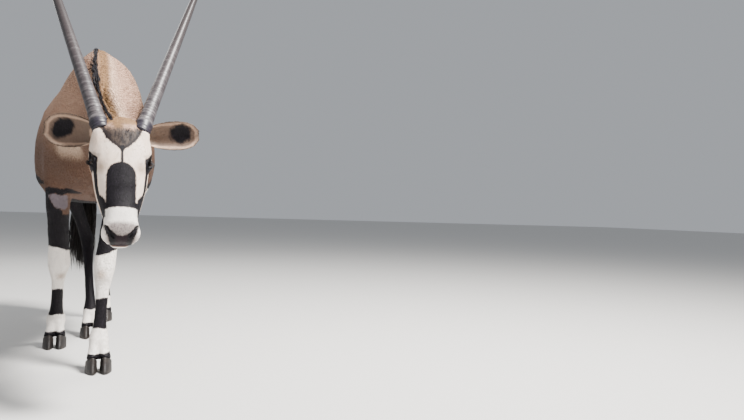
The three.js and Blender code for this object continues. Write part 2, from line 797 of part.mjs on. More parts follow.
const dock = beyond(tailNode, [0, 0, PLUME_CUT], [0, 0, 1]);
const plume = beyond(tailNode, [0, 0, PLUME_CUT], [0, 0, -1]);
addPart(group, "tail", surface(dock), COLOURS.coat, 0.8);
addPart(group, "tail_plume", surface(plume), COLOURS.plume, 0.7);

export default group;
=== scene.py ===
# %% [markdown]
# # A life-size gemsbok in a slow walk
# This lesson dresses a still museum model of a gemsbok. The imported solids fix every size; here
# they get a skin, a coat of real tufts, markings, eyes, ringed horns and hooves.
# The first cell loads the solids. Everything after it is measured from them.

# %% Load the solids
import functools
import math
import time

import bmesh
import bpy
import numpy as np
from mathutils import Euler, Matrix, Vector
from mathutils.bvhtree import BVHTree


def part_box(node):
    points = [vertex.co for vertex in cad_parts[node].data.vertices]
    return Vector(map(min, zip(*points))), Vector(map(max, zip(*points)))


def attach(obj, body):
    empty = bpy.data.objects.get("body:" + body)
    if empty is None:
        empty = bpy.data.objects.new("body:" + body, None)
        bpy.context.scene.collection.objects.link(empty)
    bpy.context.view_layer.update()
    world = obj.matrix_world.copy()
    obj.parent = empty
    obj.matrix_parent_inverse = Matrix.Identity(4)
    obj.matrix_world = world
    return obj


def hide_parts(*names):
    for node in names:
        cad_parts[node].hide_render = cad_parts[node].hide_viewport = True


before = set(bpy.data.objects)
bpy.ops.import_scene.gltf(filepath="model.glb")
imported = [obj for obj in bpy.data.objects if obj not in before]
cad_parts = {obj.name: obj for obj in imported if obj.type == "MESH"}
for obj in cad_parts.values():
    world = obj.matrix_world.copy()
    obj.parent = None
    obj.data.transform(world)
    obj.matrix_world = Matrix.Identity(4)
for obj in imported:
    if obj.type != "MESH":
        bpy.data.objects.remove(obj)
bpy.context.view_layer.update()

STARTED = time.time()
print("solids:", len(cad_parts))

# %% [markdown]
# ## The camera
# The photo looks along the animal from just in front of its muzzle, at chest height. A short
# lens and a turned view put the animal at the left edge of a wide frame. All of the body's
# measures below are taken from the withers, so the origin of the solids is one named point.

# %% Camera
ORIGIN = np.array([0.076, 0.1588, 0.0])      # the model's origin, from the floor under the withers
CAMERA_AT = np.array([0.0, -2.665, 0.585]) - ORIGIN
CAMERA_HEADING = 23.24                       # degrees from straight ahead towards the left flank
CAMERA_PITCH = 0.26
CAMERA_ROLL = 1.8
FOCAL_PIXELS = 650.0
IMAGE_WIDTH = 744.0

lens = bpy.data.cameras.new("camera")
lens.sensor_width = 36.0
lens.lens = 36.0 * FOCAL_PIXELS / IMAGE_WIDTH
camera = bpy.data.objects.new("camera", lens)
bpy.context.scene.collection.objects.link(camera)
camera.matrix_world = (
    Matrix.Translation(Vector(CAMERA_AT))
    @ Matrix.Rotation(math.radians(-CAMERA_HEADING), 4, "Z")
    @ Matrix.Rotation(math.radians(90.0 + CAMERA_PITCH), 4, "X")
    @ Matrix.Rotation(math.radians(CAMERA_ROLL), 4, "Z")
)
bpy.context.scene.camera = camera
print("camera lens", round(lens.lens, 2), "mm")

# %% [markdown]
# ## Small helpers
# A few functions make the nodes of a shader or geometry tree, and link or set their inputs. They
# keep the trees below short. Others turn plain arrays of corners and faces into an object, and
# give the faces of a tube.

# %% Helpers
def fill(tree, socket, value):
    """Link a socket to another node's output, or set its constant."""
    if isinstance(value, bpy.types.NodeSocket):
        tree.links.new(value, socket)
    else:
        socket.default_value = value


def add_node(tree, kind, inputs=None, **settings):
    made = tree.nodes.new(kind)
    for name, value in settings.items():
        setattr(made, name, value)
    for name, value in (inputs or {}).items():
        fill(tree, made.inputs[name], value)
    return made


def maths(tree, operation, *values):
    return add_node(tree, "ShaderNodeMath", dict(enumerate(values)), operation=operation).outputs[0]


def make_object(name, corners, faces):
    mesh = bpy.data.meshes.new(name)
    mesh.from_pydata([], [], [])
    corners = np.asarray(corners, float)
    mesh.vertices.add(len(corners))
    mesh.vertices.foreach_set("co", corners.ravel())
    sizes = np.array([len(face) for face in faces])
    loops = np.concatenate([np.asarray(face) for face in faces]) if len(faces) else np.zeros(0)
    mesh.loops.add(int(sizes.sum()))
    mesh.loops.foreach_set("vertex_index", loops.astype(np.int32))
    mesh.polygons.add(len(sizes))
    starts = np.concatenate([[0], np.cumsum(sizes)[:-1]])
    mesh.polygons.foreach_set("loop_start", starts.astype(np.int32))
    mesh.polygons.foreach_set("loop_total", sizes.astype(np.int32))
    mesh.update(calc_edges=True)
    mesh.validate()
    obj = bpy.data.objects.new(name, mesh)
    bpy.context.scene.collection.objects.link(obj)
    return obj


def corners_of(mesh):
    flat = np.zeros(len(mesh.vertices) * 3)
    mesh.vertices.foreach_get("co", flat)
    return flat.reshape(-1, 3)


def triangles_of(mesh):
    mesh.calc_loop_triangles()
    flat = np.zeros(len(mesh.loop_triangles) * 3, np.int32)
    mesh.loop_triangles.foreach_get("vertices", flat)
    return flat.reshape(-1, 3)


def corner_normals(corners, triangles):
    a, b, c = (corners[triangles[:, k]] for k in range(3))
    face = np.cross(b - a, c - a)
    normals = np.zeros_like(corners)
    for k in range(3):
        for axis in range(3):
            normals[:, axis] += np.bincount(triangles[:, k], face[:, axis], len(corners))
    return normals / (np.linalg.norm(normals, axis=1)[:, None] + 1e-12)


def plain_copy(obj):
    """The object's mesh with its modifiers applied, and the modifiers removed."""
    graph = bpy.context.evaluated_depsgraph_get()
    mesh = bpy.data.meshes.new_from_object(obj.evaluated_get(graph))
    obj.modifiers.clear()
    obj.data = mesh
    return obj


def put_floats(mesh, name, values):
    kind = "FLOAT_VECTOR" if values.ndim == 2 else "FLOAT"
    layer = mesh.attributes.new(name, kind, "POINT")
    layer.data.foreach_set("vector" if values.ndim == 2 else "value",
                           values.ravel().astype(np.float32))


def smooth_shaded(obj):
    obj.data.polygons.foreach_set("use_smooth", [True] * len(obj.data.polygons))
    return obj


def mirrored(points):
    """The same places with the right half laid on the left one."""
    return np.abs(points) * [1, 0, 0] + points * [0, 1, 1]


def ring_faces(rows, sides):
    """The faces between rings of corners that follow each other."""
    return [(i * sides + k, i * sides + (k + 1) % sides,
             (i + 1) * sides + (k + 1) % sides, (i + 1) * sides + k)
            for i in range(rows - 1) for k in range(sides)]


def tube_faces(rows, sides):
    """Ring faces, closed by a cap at either end."""
    return ring_faces(rows, sides) + [tuple(range(sides - 1, -1, -1)),
                                      tuple((rows - 1) * sides + k for k in range(sides))]


# %% [markdown]
# ## Where things are
# Places on the animal are measured in two other frames. The body frame starts on the floor under
# the withers. The head frame starts between the horns: its face is a plane, x runs to the left
# ear, y back into the skull and z up the face. Legs are measured along their joints.

# %% Frames of the body, the head and the legs
HEAD_AT = np.array([0.071, -0.640, 0.818])
HEAD_ANGLES = (-22.0, -0.3, 1.2)              # degrees of tilt, roll and turn
HEAD_AXES = np.array(Euler([math.radians(angle) for angle in HEAD_ANGLES], "XYZ").to_matrix())
SIDES = {"left": 1, "right": -1}

# Each leg's joints in the body frame, in millimetres: left and right foreleg, then the hindlegs.
LEG_JOINTS = [
    [(116, -92, 850), (90, -35, 695), (44, -128, 356), (34, -172, 108), (35, -212, 34)],
    [(-128, -70, 850), (-126, 40, 695), (-115, 158, 358), (-125, 292, 110), (-126, 252, 34)],
    [(120, 790, 925), (130, 655, 715), (92, 872, 438), (66, 924, 112), (64, 884, 34)],
    [(-120, 780, 925), (-126, 590, 735), (-20, 656, 424), (6, 486, 108), (8, 444, 34)],
]
LEG_TOPS = (0.66, 0.76)                       # heights where the forelegs and hindlegs begin


def to_body(points):
    return points + ORIGIN


def to_head(points):
    return (points + ORIGIN - HEAD_AT) @ HEAD_AXES


def from_head(points):
    return points @ HEAD_AXES.T + HEAD_AT - ORIGIN


def ramp(values, low, high):
    t = np.clip((values - low) / (high - low), 0.0, 1.0)
    return t * t * (3.0 - 2.0 * t)


def along_path(points, path):
    """For each point: the distance to a path, the path's direction there, and where it is."""
    path = np.asarray(path, float)
    nearest = np.full(len(points), 9.0)
    direction = np.zeros((len(points), 3))
    place = np.zeros(len(points))
    for i in range(len(path) - 1):
        step = path[i + 1] - path[i]
        t = np.clip((points - path[i]) @ step / (step @ step), 0.0, 1.0)
        gap = np.linalg.norm(points - path[i] - t[:, None] * step, axis=1)
        closer = gap < nearest
        nearest[closer] = gap[closer]
        direction[closer] = step / np.linalg.norm(step)
        place[closer] = i + t[closer]
    return nearest, direction, place


def leg_measures(body):
    """The nearest leg, the way its bones run, and a share from 0 above the legs to 1 on them."""
    best = np.full(len(body), 9.0)
    run = np.zeros((len(body), 3))
    which = np.zeros(len(body), int)
    for number, joints in enumerate(LEG_JOINTS):
        gap, direction, _ = along_path(body, np.array(joints) / 1000.0)
        closer = gap < best
        best[closer] = gap[closer]
        run[closer] = direction[closer]
        which[closer] = number
    height = np.where(which < 2, *LEG_TOPS)
    share = 1.0 - ramp(body[:, 2], height - 0.06, height + 0.05)
    share *= 1.0 - ramp(best, 0.10, 0.15)
    return which, run, share


print("head axes", HEAD_AXES.round(3).tolist())

# %% [markdown]
# ## The flesh, as one skin
# The solids of the torso, neck, head, ears and legs meet at thin cuts. Swollen by half a
# millimetre they overlap, and a voxel remesh makes one closed surface of them with no seam. The
# tail's bony part is a plain tapering tube that joins the same remesh. A collapse of edges then
# thins the broad flanks, where nothing is small, and leaves the head fine.

# %% One surface
FLESH = ["torso", "neck", "head", "ear_left", "ear_right",
         "foreleg_left", "foreleg_right", "hindleg_left", "hindleg_right"]
OVERLAP = 0.0006
VOXEL = 0.0028
SKIN_TRIANGLES = 180000
SOCKET = 0.0225                              # radius of the bulge that fills an eye's socket
DOCK = [(0, 880, 1052, 26), (0, 945, 1048, 25), (-4, 1000, 1006, 20), (-12, 1022, 930, 16),
        (-22, 1029, 850, 13), (-30, 1030, 770, 10), (-36, 1030, 700, 6)]
PEDICLE = [(50, 34, -80, 19), (52, 34, -50, 24), (54, 34, -18, 26), (55, 34, -6, 25)]


def node_arrays(name):
    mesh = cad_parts[name].data
    corners = corners_of(mesh)
    _, first, inverse = np.unique(np.round(corners, 6), axis=0, return_index=True,
                                  return_inverse=True)
    triangles = inverse.ravel()[triangles_of(mesh)]
    return corners[first], triangles


def tube(rows, sides=16):
    """A closed tube through (x, y, z, radius) rows, in metres."""
    rows = np.asarray(rows, float)
    tangents = np.gradient(rows[:, :3], axis=0)
    tangents /= np.linalg.norm(tangents, axis=1)[:, None]
    side = np.cross(tangents, [0.0, 0.0, 1.0] if abs(tangents[0][2]) < 0.9 else [0.0, 1.0, 0.0])
    side = np.where(np.linalg.norm(side, axis=1)[:, None] > 0.2, side, [1.0, 0.0, 0.0])
    side /= np.linalg.norm(side, axis=1)[:, None]
    up = np.cross(side, tangents)
    turn = (np.arange(sides) / sides * 2 * math.pi)[None, :, None]
    ring = side[:, None] * np.cos(turn) + up[:, None] * np.sin(turn)
    points = rows[:, None, :3] + ring * rows[:, 3][:, None, None]
    return points.reshape(-1, 3), tube_faces(len(rows), sides)


def eye_plug(node_name):
    """A ball a little larger than an eye, which fills its socket before the lids are carved."""
    low, high = (np.array(corner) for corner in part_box(node_name))
    centre = (low + high) / 2
    rows = [(*(centre + [0, 0, SOCKET * math.sin(lift)]), SOCKET * math.cos(lift))
            for lift in np.linspace(-1.45, 1.45, 14)]
    return tube(rows, 24)


def pedicle(side):
    """A short upright stump of the brow that carries a horn, in the head frame."""
    points, faces = tube(np.array(PEDICLE) / 1000.0 * [side, 1, 1, 1], 24)
    return from_head(points), faces


def joined_flesh():
    corners, faces, start = [], [], 0
    for name in FLESH:
        points, triangles = node_arrays(name)
        points = points + OVERLAP * corner_normals(points, triangles)
        corners.append(points)
        faces += [tuple(t) for t in triangles + start]
        start += len(points)
    rows = np.array(DOCK) / 1000.0
    rows[:, :3] -= ORIGIN
    for points, quads in (tube(rows), eye_plug("eye_left"), eye_plug("eye_right"),
                          pedicle(1), pedicle(-1)):
        corners.append(points)
        faces += [tuple(v + start for v in quad) for quad in quads]
        start += len(points)
    return make_object("skin", np.concatenate(corners), faces)


skin = joined_flesh()
remesh = skin.modifiers.new("one_surface", "REMESH")
remesh.mode = "VOXEL"
remesh.voxel_size = VOXEL
plain_copy(skin)
print("remeshed to", len(skin.data.polygons), "faces", round(time.time() - STARTED, 1), "s")

# %% [markdown]
# ## Thin and fair the skin
# A vertex group says where edges may be collapsed: freely on the flanks, hardly on the head and
# the feet. Fairing then takes out the flat facets of the solids. Plain smoothing would shrink
# the legs, so what it took off is smoothed too and given back, twice. Last, the skin sinks by
# the depth of the coat.

# %% Thin, fair and sink
KEEP_HEAD, KEEP_FEET = 0.10, 0.35            # how freely edges collapse there, of 1
FOOT_TOP = 0.13
FAIR_ROUNDS = 45
FAIR_BODY, FAIR_HEAD, FAIR_EARS, FAIR_FEET = 0.9, 0.55, 0.12, 0.25
COAT_DEPTH_BODY = 0.0030
COAT_DEPTH_LEGS = 0.0008
COAT_DEPTH_HEAD = 0.0010
EAR_NEAR = 0.0055
NAPE_AT, NAPE_AIM = (0.066, -0.52, 0.80), (0.0, -0.8, -0.6)
EAR_SOLIDS = [BVHTree.FromPolygons(points.tolist(), triangles.tolist())
              for points, triangles in (node_arrays("ear_left"), node_arrays("ear_right"))]
# Places on the head that keep their detail: where, how far around, and the share that is kept.
FAIRING_KEPT = [((0.076, 0.036, -0.106), 0.028, 0.3), ((0.03, 0.01, -0.325), 0.030, 0.35),
                ((0.03, 0.075, -0.335), 0.035, 0.3)]


def ear_share(body):
    """1 on the ears, 0 elsewhere: a place is on an ear if it lies close to the ear's own solid."""
    head = (body - HEAD_AT) @ HEAD_AXES
    share = np.zeros(len(body))
    maybe = np.where((np.abs(head[:, 0]) > 0.056) & (body[:, 1] < -0.36) & (body[:, 2] > 0.70))[0]
    for number in maybe:
        place = Vector(body[number] - ORIGIN)
        near = any(solid.find_nearest(place, EAR_NEAR)[0] is not None for solid in EAR_SOLIDS)
        share[number] = 1.0 if near else 0.0
    return share


def head_share(body):
    """1 on the head and ears, 0 on the body, changing over the nape."""
    nape = ramp((body - NAPE_AT) @ NAPE_AIM, -0.01, 0.05)
    return np.maximum(nape, ear_share(body))


def thin(obj, target):
    body = to_body(corners_of(obj.data))
    spare = 1.0 - (1.0 - KEEP_HEAD) * head_share(body)
    spare = np.minimum(spare, np.where(body[:, 2] < FOOT_TOP, KEEP_FEET, 1.0))
    group = obj.vertex_groups.new(name="spare")
    steps = np.round(spare * 20).astype(int)
    for step in np.unique(steps):
        group.add(np.where(steps == step)[0].tolist(), step / 20.0, "REPLACE")
    collapse = obj.modifiers.new("thin", "DECIMATE")
    collapse.ratio = target / (2.0 * len(obj.data.polygons))
    collapse.vertex_group = group.name
    collapse.use_collapse_triangulate = True
    plain_copy(obj)
    obj.vertex_groups.clear()


def neighbour_average(triangles, count):
    """A function that averages a value over each corner's neighbours."""
    here = triangles[:, [0, 1, 2]].ravel()
    there = triangles[:, [1, 2, 0]].ravel()
    degree = np.maximum(np.bincount(here, minlength=count), 1)

    def average(values):
        columns = [np.bincount(here, values[there, k], count) for k in range(values.shape[1])]
        return np.stack(columns, axis=1) / degree[:, None]
    return average


def soften(values, average, strength, rounds):
    for _ in range(rounds):
        values = values + strength[:, None] * (average(values) - values)
    return values


def fair(corners, triangles, strength, rounds):
    average = neighbour_average(triangles, len(corners))
    soft = soften(corners, average, strength, rounds)
    for _ in range(2):
        soft = soft + soften(corners - soft, average, strength, rounds)
    return soft


def fairing_strength(corners):
    body = to_body(corners)
    head = to_head(corners)
    share = head_share(body)
    strength = np.full(len(corners), FAIR_BODY)
    on_ear = ramp(np.abs(head[:, 0]), 0.085, 0.11) * ear_share(body)
    strength = strength * (1 - share) + FAIR_HEAD * share
    strength = strength * (1 - on_ear) + FAIR_EARS * on_ear
    for spot, reach, kept in FAIRING_KEPT:
        gap = np.linalg.norm(mirrored(head) - spot, axis=1)
        near = 1.0 - ramp(gap, reach * 0.7, reach * 1.3)
        strength = np.minimum(strength, 1.0 - near * (1.0 - kept))
    strength = strength * (1 - 0.35 * leg_measures(body)[2])
    feet = 1.0 - ramp(body[:, 2], 0.10, 0.16)
    return np.where(feet > 0, strength * (1 - feet) + FAIR_FEET * feet, strength)


# Finely meshed places: eyes, nostrils and lips (centre and reach), and the line of the crest.
DETAIL_SPOTS = [((78, 32, -106), 33), ((32, 12, -325), 27), ((14, 52, -350), 30),
                ((44, 82, -318), 24)]
CREST = [(43, -612, 832), (30, -540, 862), (12, -480, 905), (2, -440, 952), (-6, -356, 1021),
         (-8, -246, 1093), (-7, -111, 1142), (-3, 20, 1176)]


CREST_REACH = 0.017


def crest_depth(body):
    return CREST_REACH - along_path(body, np.array(CREST) / 1000.0)[0]


def detail_depth(head):
    """How far inside the finely meshed places of the face a point lies."""
    depths = [reach / 1000.0 - np.linalg.norm(mirrored(head) - np.array(spot) / 1000.0, axis=1)
              for spot, reach in DETAIL_SPOTS]
    return np.max(depths, axis=0)


def refine(obj):
    """Split the edges around the eyes, nostrils and lips, and along the crest, twice."""
    shaper = bmesh.new()
    shaper.from_mesh(obj.data)
    for margin in (0.0, 0.004):
        shaper.verts.index_update()
        places = np.array([corner.co for corner in shaper.verts])
        inside = np.maximum(detail_depth(to_head(places)), crest_depth(to_body(places))) > margin
        chosen = [edge for edge in shaper.edges
                  if inside[edge.verts[0].index] and inside[edge.verts[1].index]]
        bmesh.ops.subdivide_edges(shaper, edges=chosen, cuts=1, use_grid_fill=True)
        bmesh.ops.triangulate(shaper, faces=[face for face in shaper.faces if len(face.verts) > 3])
    shaper.to_mesh(obj.data)
    shaper.free()


thin(skin, SKIN_TRIANGLES)
skin_corners = corners_of(skin.data)
skin_triangles = triangles_of(skin.data)
skin_corners = fair(skin_corners, skin_triangles, fairing_strength(skin_corners), FAIR_ROUNDS)
body_places = to_body(skin_corners)
sink = COAT_DEPTH_BODY + (COAT_DEPTH_HEAD - COAT_DEPTH_BODY) * head_share(body_places)
sink += (COAT_DEPTH_LEGS - sink) * leg_measures(body_places)[2]
skin_corners -= sink[:, None] * corner_normals(skin_corners, skin_triangles)
skin.data.vertices.foreach_set("co", skin_corners.ravel())
refine(skin)
print("skin thinned, faired and refined", round(time.time() - STARTED, 1), "s")

# %% [markdown]
# ## Lids, nostrils and lips
# The sockets are closed bulges so far. Each lid is carved on them by its distance from an almond
# line: inside the line the skin drops behind the eye, at the line it rolls outward, and a crease
# runs above it. The nostrils are deep commas with a raised outer wing, and a groove parts the
# lips.

# %% Carve the face
EYE_AT = np.array([0.066, 0.042, -0.106])
EYE_RADIUS = 0.0188
EYE_LOOK = (0.80, -0.58, 0.10)
EYE_SLIT = (0.0, 0.35, 1.0)                  # from the tear duct to the outer corner
SLIT_HALF = 0.0160
LID_ARCH = {"upper": 0.0098, "lower": 0.0078}
LID_STEPS = [-0.0030, -0.0012, 0.0001, 0.0012, 0.0030, 0.0048, 0.0075, 0.0120]
LID_RISE = [-0.0045, -0.0035, 0.0012, 0.0026, 0.0028, 0.0016, 0.0034, 0.0040]
NOSTRIL = [(43, 14, -306), (38, 8, -316), (30, 8, -330), (21, 15, -344)]
NOSTRIL_WIDTHS = [2.5, 6, 6.5, 6]
MOUTH = [(0, 58, -352), (14, 60, -351), (31, 66, -343), (44, 79, -320), (49, 88, -286),
         (50, 93, -250)]
MOUTH_WIDTHS = [3, 3, 3, 3, 2.5, 1]
LIP_PARTING = [(0, 16, -344), (0, 50, -352)]


def eye_axes(side):
    """Where an eye looks, its slit and the way up across it, in the head frame."""
    look = np.array(EYE_LOOK) * [side, 1, 1]
    look /= np.linalg.norm(look)
    slit = np.array(EYE_SLIT) - look * (look @ EYE_SLIT)
    slit /= np.linalg.norm(slit)
    return look, slit, np.cross(look, slit) * side


def carve_lids(head):
    for side in SIDES.values():
        look, slit, up = eye_axes(side)
        arm = head - EYE_AT * [side, 1, 1]
        far = np.linalg.norm(arm, axis=1)
        ahead = arm @ look / far
        along = EYE_RADIUS * np.arctan2(arm @ slit / far, ahead)
        across = EYE_RADIUS * np.arctan2(arm @ up / far, ahead)
        arch = np.where(across > 0, LID_ARCH["upper"], LID_ARCH["lower"])
        gap = np.abs(across) - arch * (1 - (along / SLIT_HALF) ** 2)
        wanted = EYE_RADIUS + np.interp(gap, LID_STEPS, LID_RISE)
        weight = (1 - ramp(gap, 0.006, 0.014)) * ((ahead > 0.1) & (far < 0.045))
        head = head + arm / far[:, None] * ((wanted - far) * weight)[:, None]
    return head


def stroke_gap(points, path, widths):
    """The distance to a mirrored path, as a share of its width there."""
    gap, _, place = along_path(mirrored(points), np.array(path) / 1000.0)
    return gap / np.interp(place, np.arange(len(widths)), np.array(widths) / 1000.0)


def carve_nose(head, normals):
    gap = stroke_gap(head, NOSTRIL, NOSTRIL_WIDTHS)
    pit = 1 - ramp(gap, 0.25, 1.05)
    wing = ramp(gap, 0.9, 1.4) * (1 - ramp(gap, 1.6, 2.8))
    wing = 0.0022 * wing * ramp(np.abs(head[:, 0]), 0.026, 0.040)
    head = head + pit[:, None] * np.array([0.0, 0.0075, 0.0020]) + normals * wing[:, None]
    gap = stroke_gap(head, MOUTH, MOUTH_WIDTHS)
    groove = 1 - ramp(gap, 0.1, 0.9)
    lips = ramp(gap, 0.7, 1.3) * (1 - ramp(gap, 1.6, 3.4))
    parting = 1 - ramp(stroke_gap(head, LIP_PARTING, [2, 2]), 0.2, 1.2)
    return head + normals * (0.0016 * lips - 0.0032 * groove - 0.0012 * parting)[:, None]


skin_corners = corners_of(skin.data)
skin_triangles = triangles_of(skin.data)
detail = ramp(detail_depth(to_head(skin_corners)), -0.004, 0.002)
average = neighbour_average(skin_triangles, len(skin_corners))
skin_corners = soften(skin_corners, average, 0.5 * detail, 6)
skin_normals = corner_normals(skin_corners, skin_triangles)
head_places = carve_nose(to_head(skin_corners), skin_normals @ HEAD_AXES)
skin_corners = from_head(carve_lids(head_places))
skin_corners = soften(skin_corners, average, 0.25 * detail, 1)
skin.data.vertices.foreach_set("co", skin_corners.ravel())
skin.data.update()
smooth_shaded(skin)
body_places = to_body(skin_corners)
print("skin", len(skin_triangles), "triangles", round(time.time() - STARTED, 1), "s")

# %% [markdown]
# ## Markings as distances
# A gemsbok's markings have clean edges, finer than the mesh. So each corner of the skin keeps
# the distance, in metres, to the edge of the black and of the white, positive inside. The shader
# cuts these distances with a little noise. Tufts take the value at their root, so skin and coat
# always carry the same markings.

# %% Strokes and patches
NOWHERE = -0.05                              # the depth of a marking where it can't be


def stroke(points, path, widths, normals=None):
    """How deep each point lies in a stroke of changing half width, along the skin if it can."""
    path = np.asarray(path, float) / 1000.0
    widths = np.asarray(widths, float) / 1000.0
    depth = np.full(len(points), -1.0)
    for i in range(len(path) - 1):
        step = path[i + 1] - path[i]
        t = np.clip((points - path[i]) @ step / (step @ step), 0.0, 1.0)
        arm = points - path[i] - t[:, None] * step
        near = np.linalg.norm(arm, axis=1) < 0.045
        if normals is not None:
            arm = arm - normals * (arm * normals).sum(1)[:, None]
        gap = np.linalg.norm(arm, axis=1)
        here = widths[i] + (widths[i + 1] - widths[i]) * t - gap
        depth = np.maximum(depth, here if normals is None else np.where(near, here, -1.0))
    return depth


def all_of(*depths):
    """How deep each point lies in what several areas share."""
    return functools.reduce(np.minimum, depths)


def any_of(*depths):
    """How deep each point lies in several areas taken together."""
    return functools.reduce(np.maximum, depths)


def between(values, low, high):
    return np.minimum(values - low, high - values)


def rounded(first, second, radius=0.010):
    """The smaller of two depths, with the corner between them rounded."""
    a, b = radius - first, radius - second
    return radius - np.hypot(np.maximum(a, 0), np.maximum(b, 0)) - np.minimum(np.maximum(a, b), 0)


def wavering(points, size):
    """A slow irregular shift, so that no edge of a marking runs dead level."""
    x, y, z = points.T
    waves = np.sin(71 * x + 39 * y + 23 * z) + np.sin(113 * y - 57 * x + 1.3)
    waves = waves + 0.6 * np.sin(191 * x + 160 * z)
    return size * waves / 2.6


EYE_STRIPE = [(86, 56, -62), (82, 42, -88), (75, 30, -108), (69, 34, -140), (66, 40, -168),
              (62, 48, -190), (58, 50, -210), (51, 42, -232), (47, 40, -262)]
EYE_STRIPE_WIDTHS = [4, 10, 18, 10, 11, 12, 13, 15, 10]
EYE_SURROUND = [0.084, 0.050, -0.106]
HAIR_EDGE_Z = [-0.20, -0.119, -0.086, -0.080, -0.066, -0.045, -0.020, 0.0, 0.05]
HAIR_EDGE_X = [0.001, 0.0022, 0.0026, 0.007, 0.023, 0.042, 0.054, 0.062, 0.070]
CHEEK_WHITE = [(86, 66, -130), (78, 64, -170), (70, 70, -215), (62, 70, -250)]
CHEEK_WHITE_WIDTHS = [5, 9, 14, 14]
THROAT_EDGE = [(20, 190, -60), (18, 178, -150), (12, 150, -220)]
THROAT_EDGE_WIDTHS = [16, 14, 6]
# The path of the painted shade in the folds of the nostril wings.
WING_FOLD_SHADE = [(52, 0, -300), (48, 0, -326), (40, 0, -347)]
FACE_LINE = [(0, 0, -74), (0, 0, -90), (0, 0, -124)]
FACE_LINE_WIDTHS = [7, 3.0, 3.6]
BLAZE_MIDDLE = -0.0015
BLAZE_HALF = 0.040
BLAZE_TOP = -0.160                           # height of the centre of its round top
BLAZE_BOTTOM = -0.2550
NOSE_TOP_X = [0.0, 0.012, 0.022, 0.030, 0.038, 0.046]
NOSE_TOP_Z = [-0.3365, -0.3345, -0.3270, -0.3180, -0.3060, -0.2990]
NOSE_SIDE_Z = [-0.354, -0.345, -0.330, -0.318, -0.304]
NOSE_SIDE_X = [0.026, 0.0315, 0.0390, 0.0430, 0.0465]
BLAZE_JOINT_Z = (-0.2560, -0.2355)           # the black bridge from the blaze to the stripes
MUZZLE_CORNER_Z = (-0.276, -0.205)
FACE_BACK = 0.070                            # how far back the face's own markings reach
MUZZLE_EDGE_Z = [-0.275, -0.228, -0.212, -0.200]
MUZZLE_EDGE_X = [0.0415, 0.0420, 0.0520, 0.0600]


def face_fields(head):
    """Distances into the face's black, white and grey, the speckled nose and its dark edge."""
    x, y, z = np.abs(head[:, 0]), head[:, 1], head[:, 2]
    mirror = np.stack([x, y, z], axis=1)
    front = FACE_BACK - y
    middle = head[:, 0] - BLAZE_MIDDLE
    dome = BLAZE_HALF - np.where(z > BLAZE_TOP, np.hypot(middle, z - BLAZE_TOP), np.abs(middle))
    muzzle_edge = np.interp(z, MUZZLE_EDGE_Z, MUZZLE_EDGE_X)
    line = stroke(np.stack([x, 0 * y, z], axis=1), FACE_LINE, FACE_LINE_WIDTHS)
    black = any_of(all_of(rounded(dome, z - BLAZE_BOTTOM, 0.009), front),
                   stroke(mirror, EYE_STRIPE, EYE_STRIPE_WIDTHS),
                   0.028 - np.linalg.norm(mirror - EYE_SURROUND, axis=1),
                   all_of(x - muzzle_edge, between(z, *MUZZLE_CORNER_Z), 0.064 - y),
                   all_of(between(z, *BLAZE_JOINT_Z), 0.05 - x, front),
                   all_of(0.024 - y, line),
                   stroke(mirror, THROAT_EDGE, THROAT_EDGE_WIDTHS))
    hair_edge = np.interp(z, HAIR_EDGE_Z, HAIR_EDGE_X)
    white = any_of(all_of(x - hair_edge, 0.066 - y, 0.004 - z),
                   BLAZE_BOTTOM + np.interp(x, [0.034, 0.042], [0.0, 0.004]) - z,
                   stroke(mirror, CHEEK_WHITE, CHEEK_WHITE_WIDTHS),
                   all_of(y - 0.095, -0.19 - z))
    grey_top = np.interp(x, [0.0, 0.03, 0.05], [-0.008, -0.010, 0.002])
    grey = all_of(hair_edge - x + 0.008, 0.075 - y, z + 0.13, 0.45 * (grey_top - z))
    nose = all_of(0.041 - x, -0.300 - z, 0.050 - y)
    dark = all_of(np.interp(x, NOSE_TOP_X, NOSE_TOP_Z) - z,
                  np.interp(z, NOSE_SIDE_Z, NOSE_SIDE_X) - x, 0.066 - y)
    return black, white, grey, nose, dark


EAR_ROOT = np.array([0.054, 0.088, 0.012])
EARS = {1: {"length": 0.185, "aim": (1.0, 0.03, 0.12), "lean": -0.3},
        -1: {"length": 0.172, "aim": (-1.0, 0.36, 0.24), "lean": 1.8}}
EAR_OPEN = (-0.1, -0.87, -0.49)
EAR_SECTORS = 60
EAR_PATCH_AT = (0.69, 0.006)                 # along the ear as a share, and height in metres
EAR_PATCH_SIZE = (0.175, 0.0315)
EAR_RIM = 0.0052
EAR_FRINGE = 0.0095


def ear_axes(side):
    """Along an ear, the way its cup opens, and up across it, in the head frame."""
    along = np.array(EARS[side]["aim"]) / np.linalg.norm(EARS[side]["aim"])
    opening = np.array(EAR_OPEN) * [side, 1, 1]
    opening -= along * (opening @ along)
    opening /= np.linalg.norm(opening)
    return along, opening, np.cross(opening, along) * side


def ear_measures(head):
    """Along the ear 0 to 1, the height across it, and the way it opens."""
    share = np.zeros(len(head))
    height = np.zeros(len(head))
    opens = np.zeros((len(head), 3))
    for side, ear in EARS.items():
        own = (head[:, 0] > 0) == (side > 0)
        along, opening, up = ear_axes(side)
        offset = head[own] - EAR_ROOT * [side, 1, 1]
        share[own] = offset @ along / ear["length"]
        height[own] = offset @ up
        opens[own] = opening
    return share, height, opens


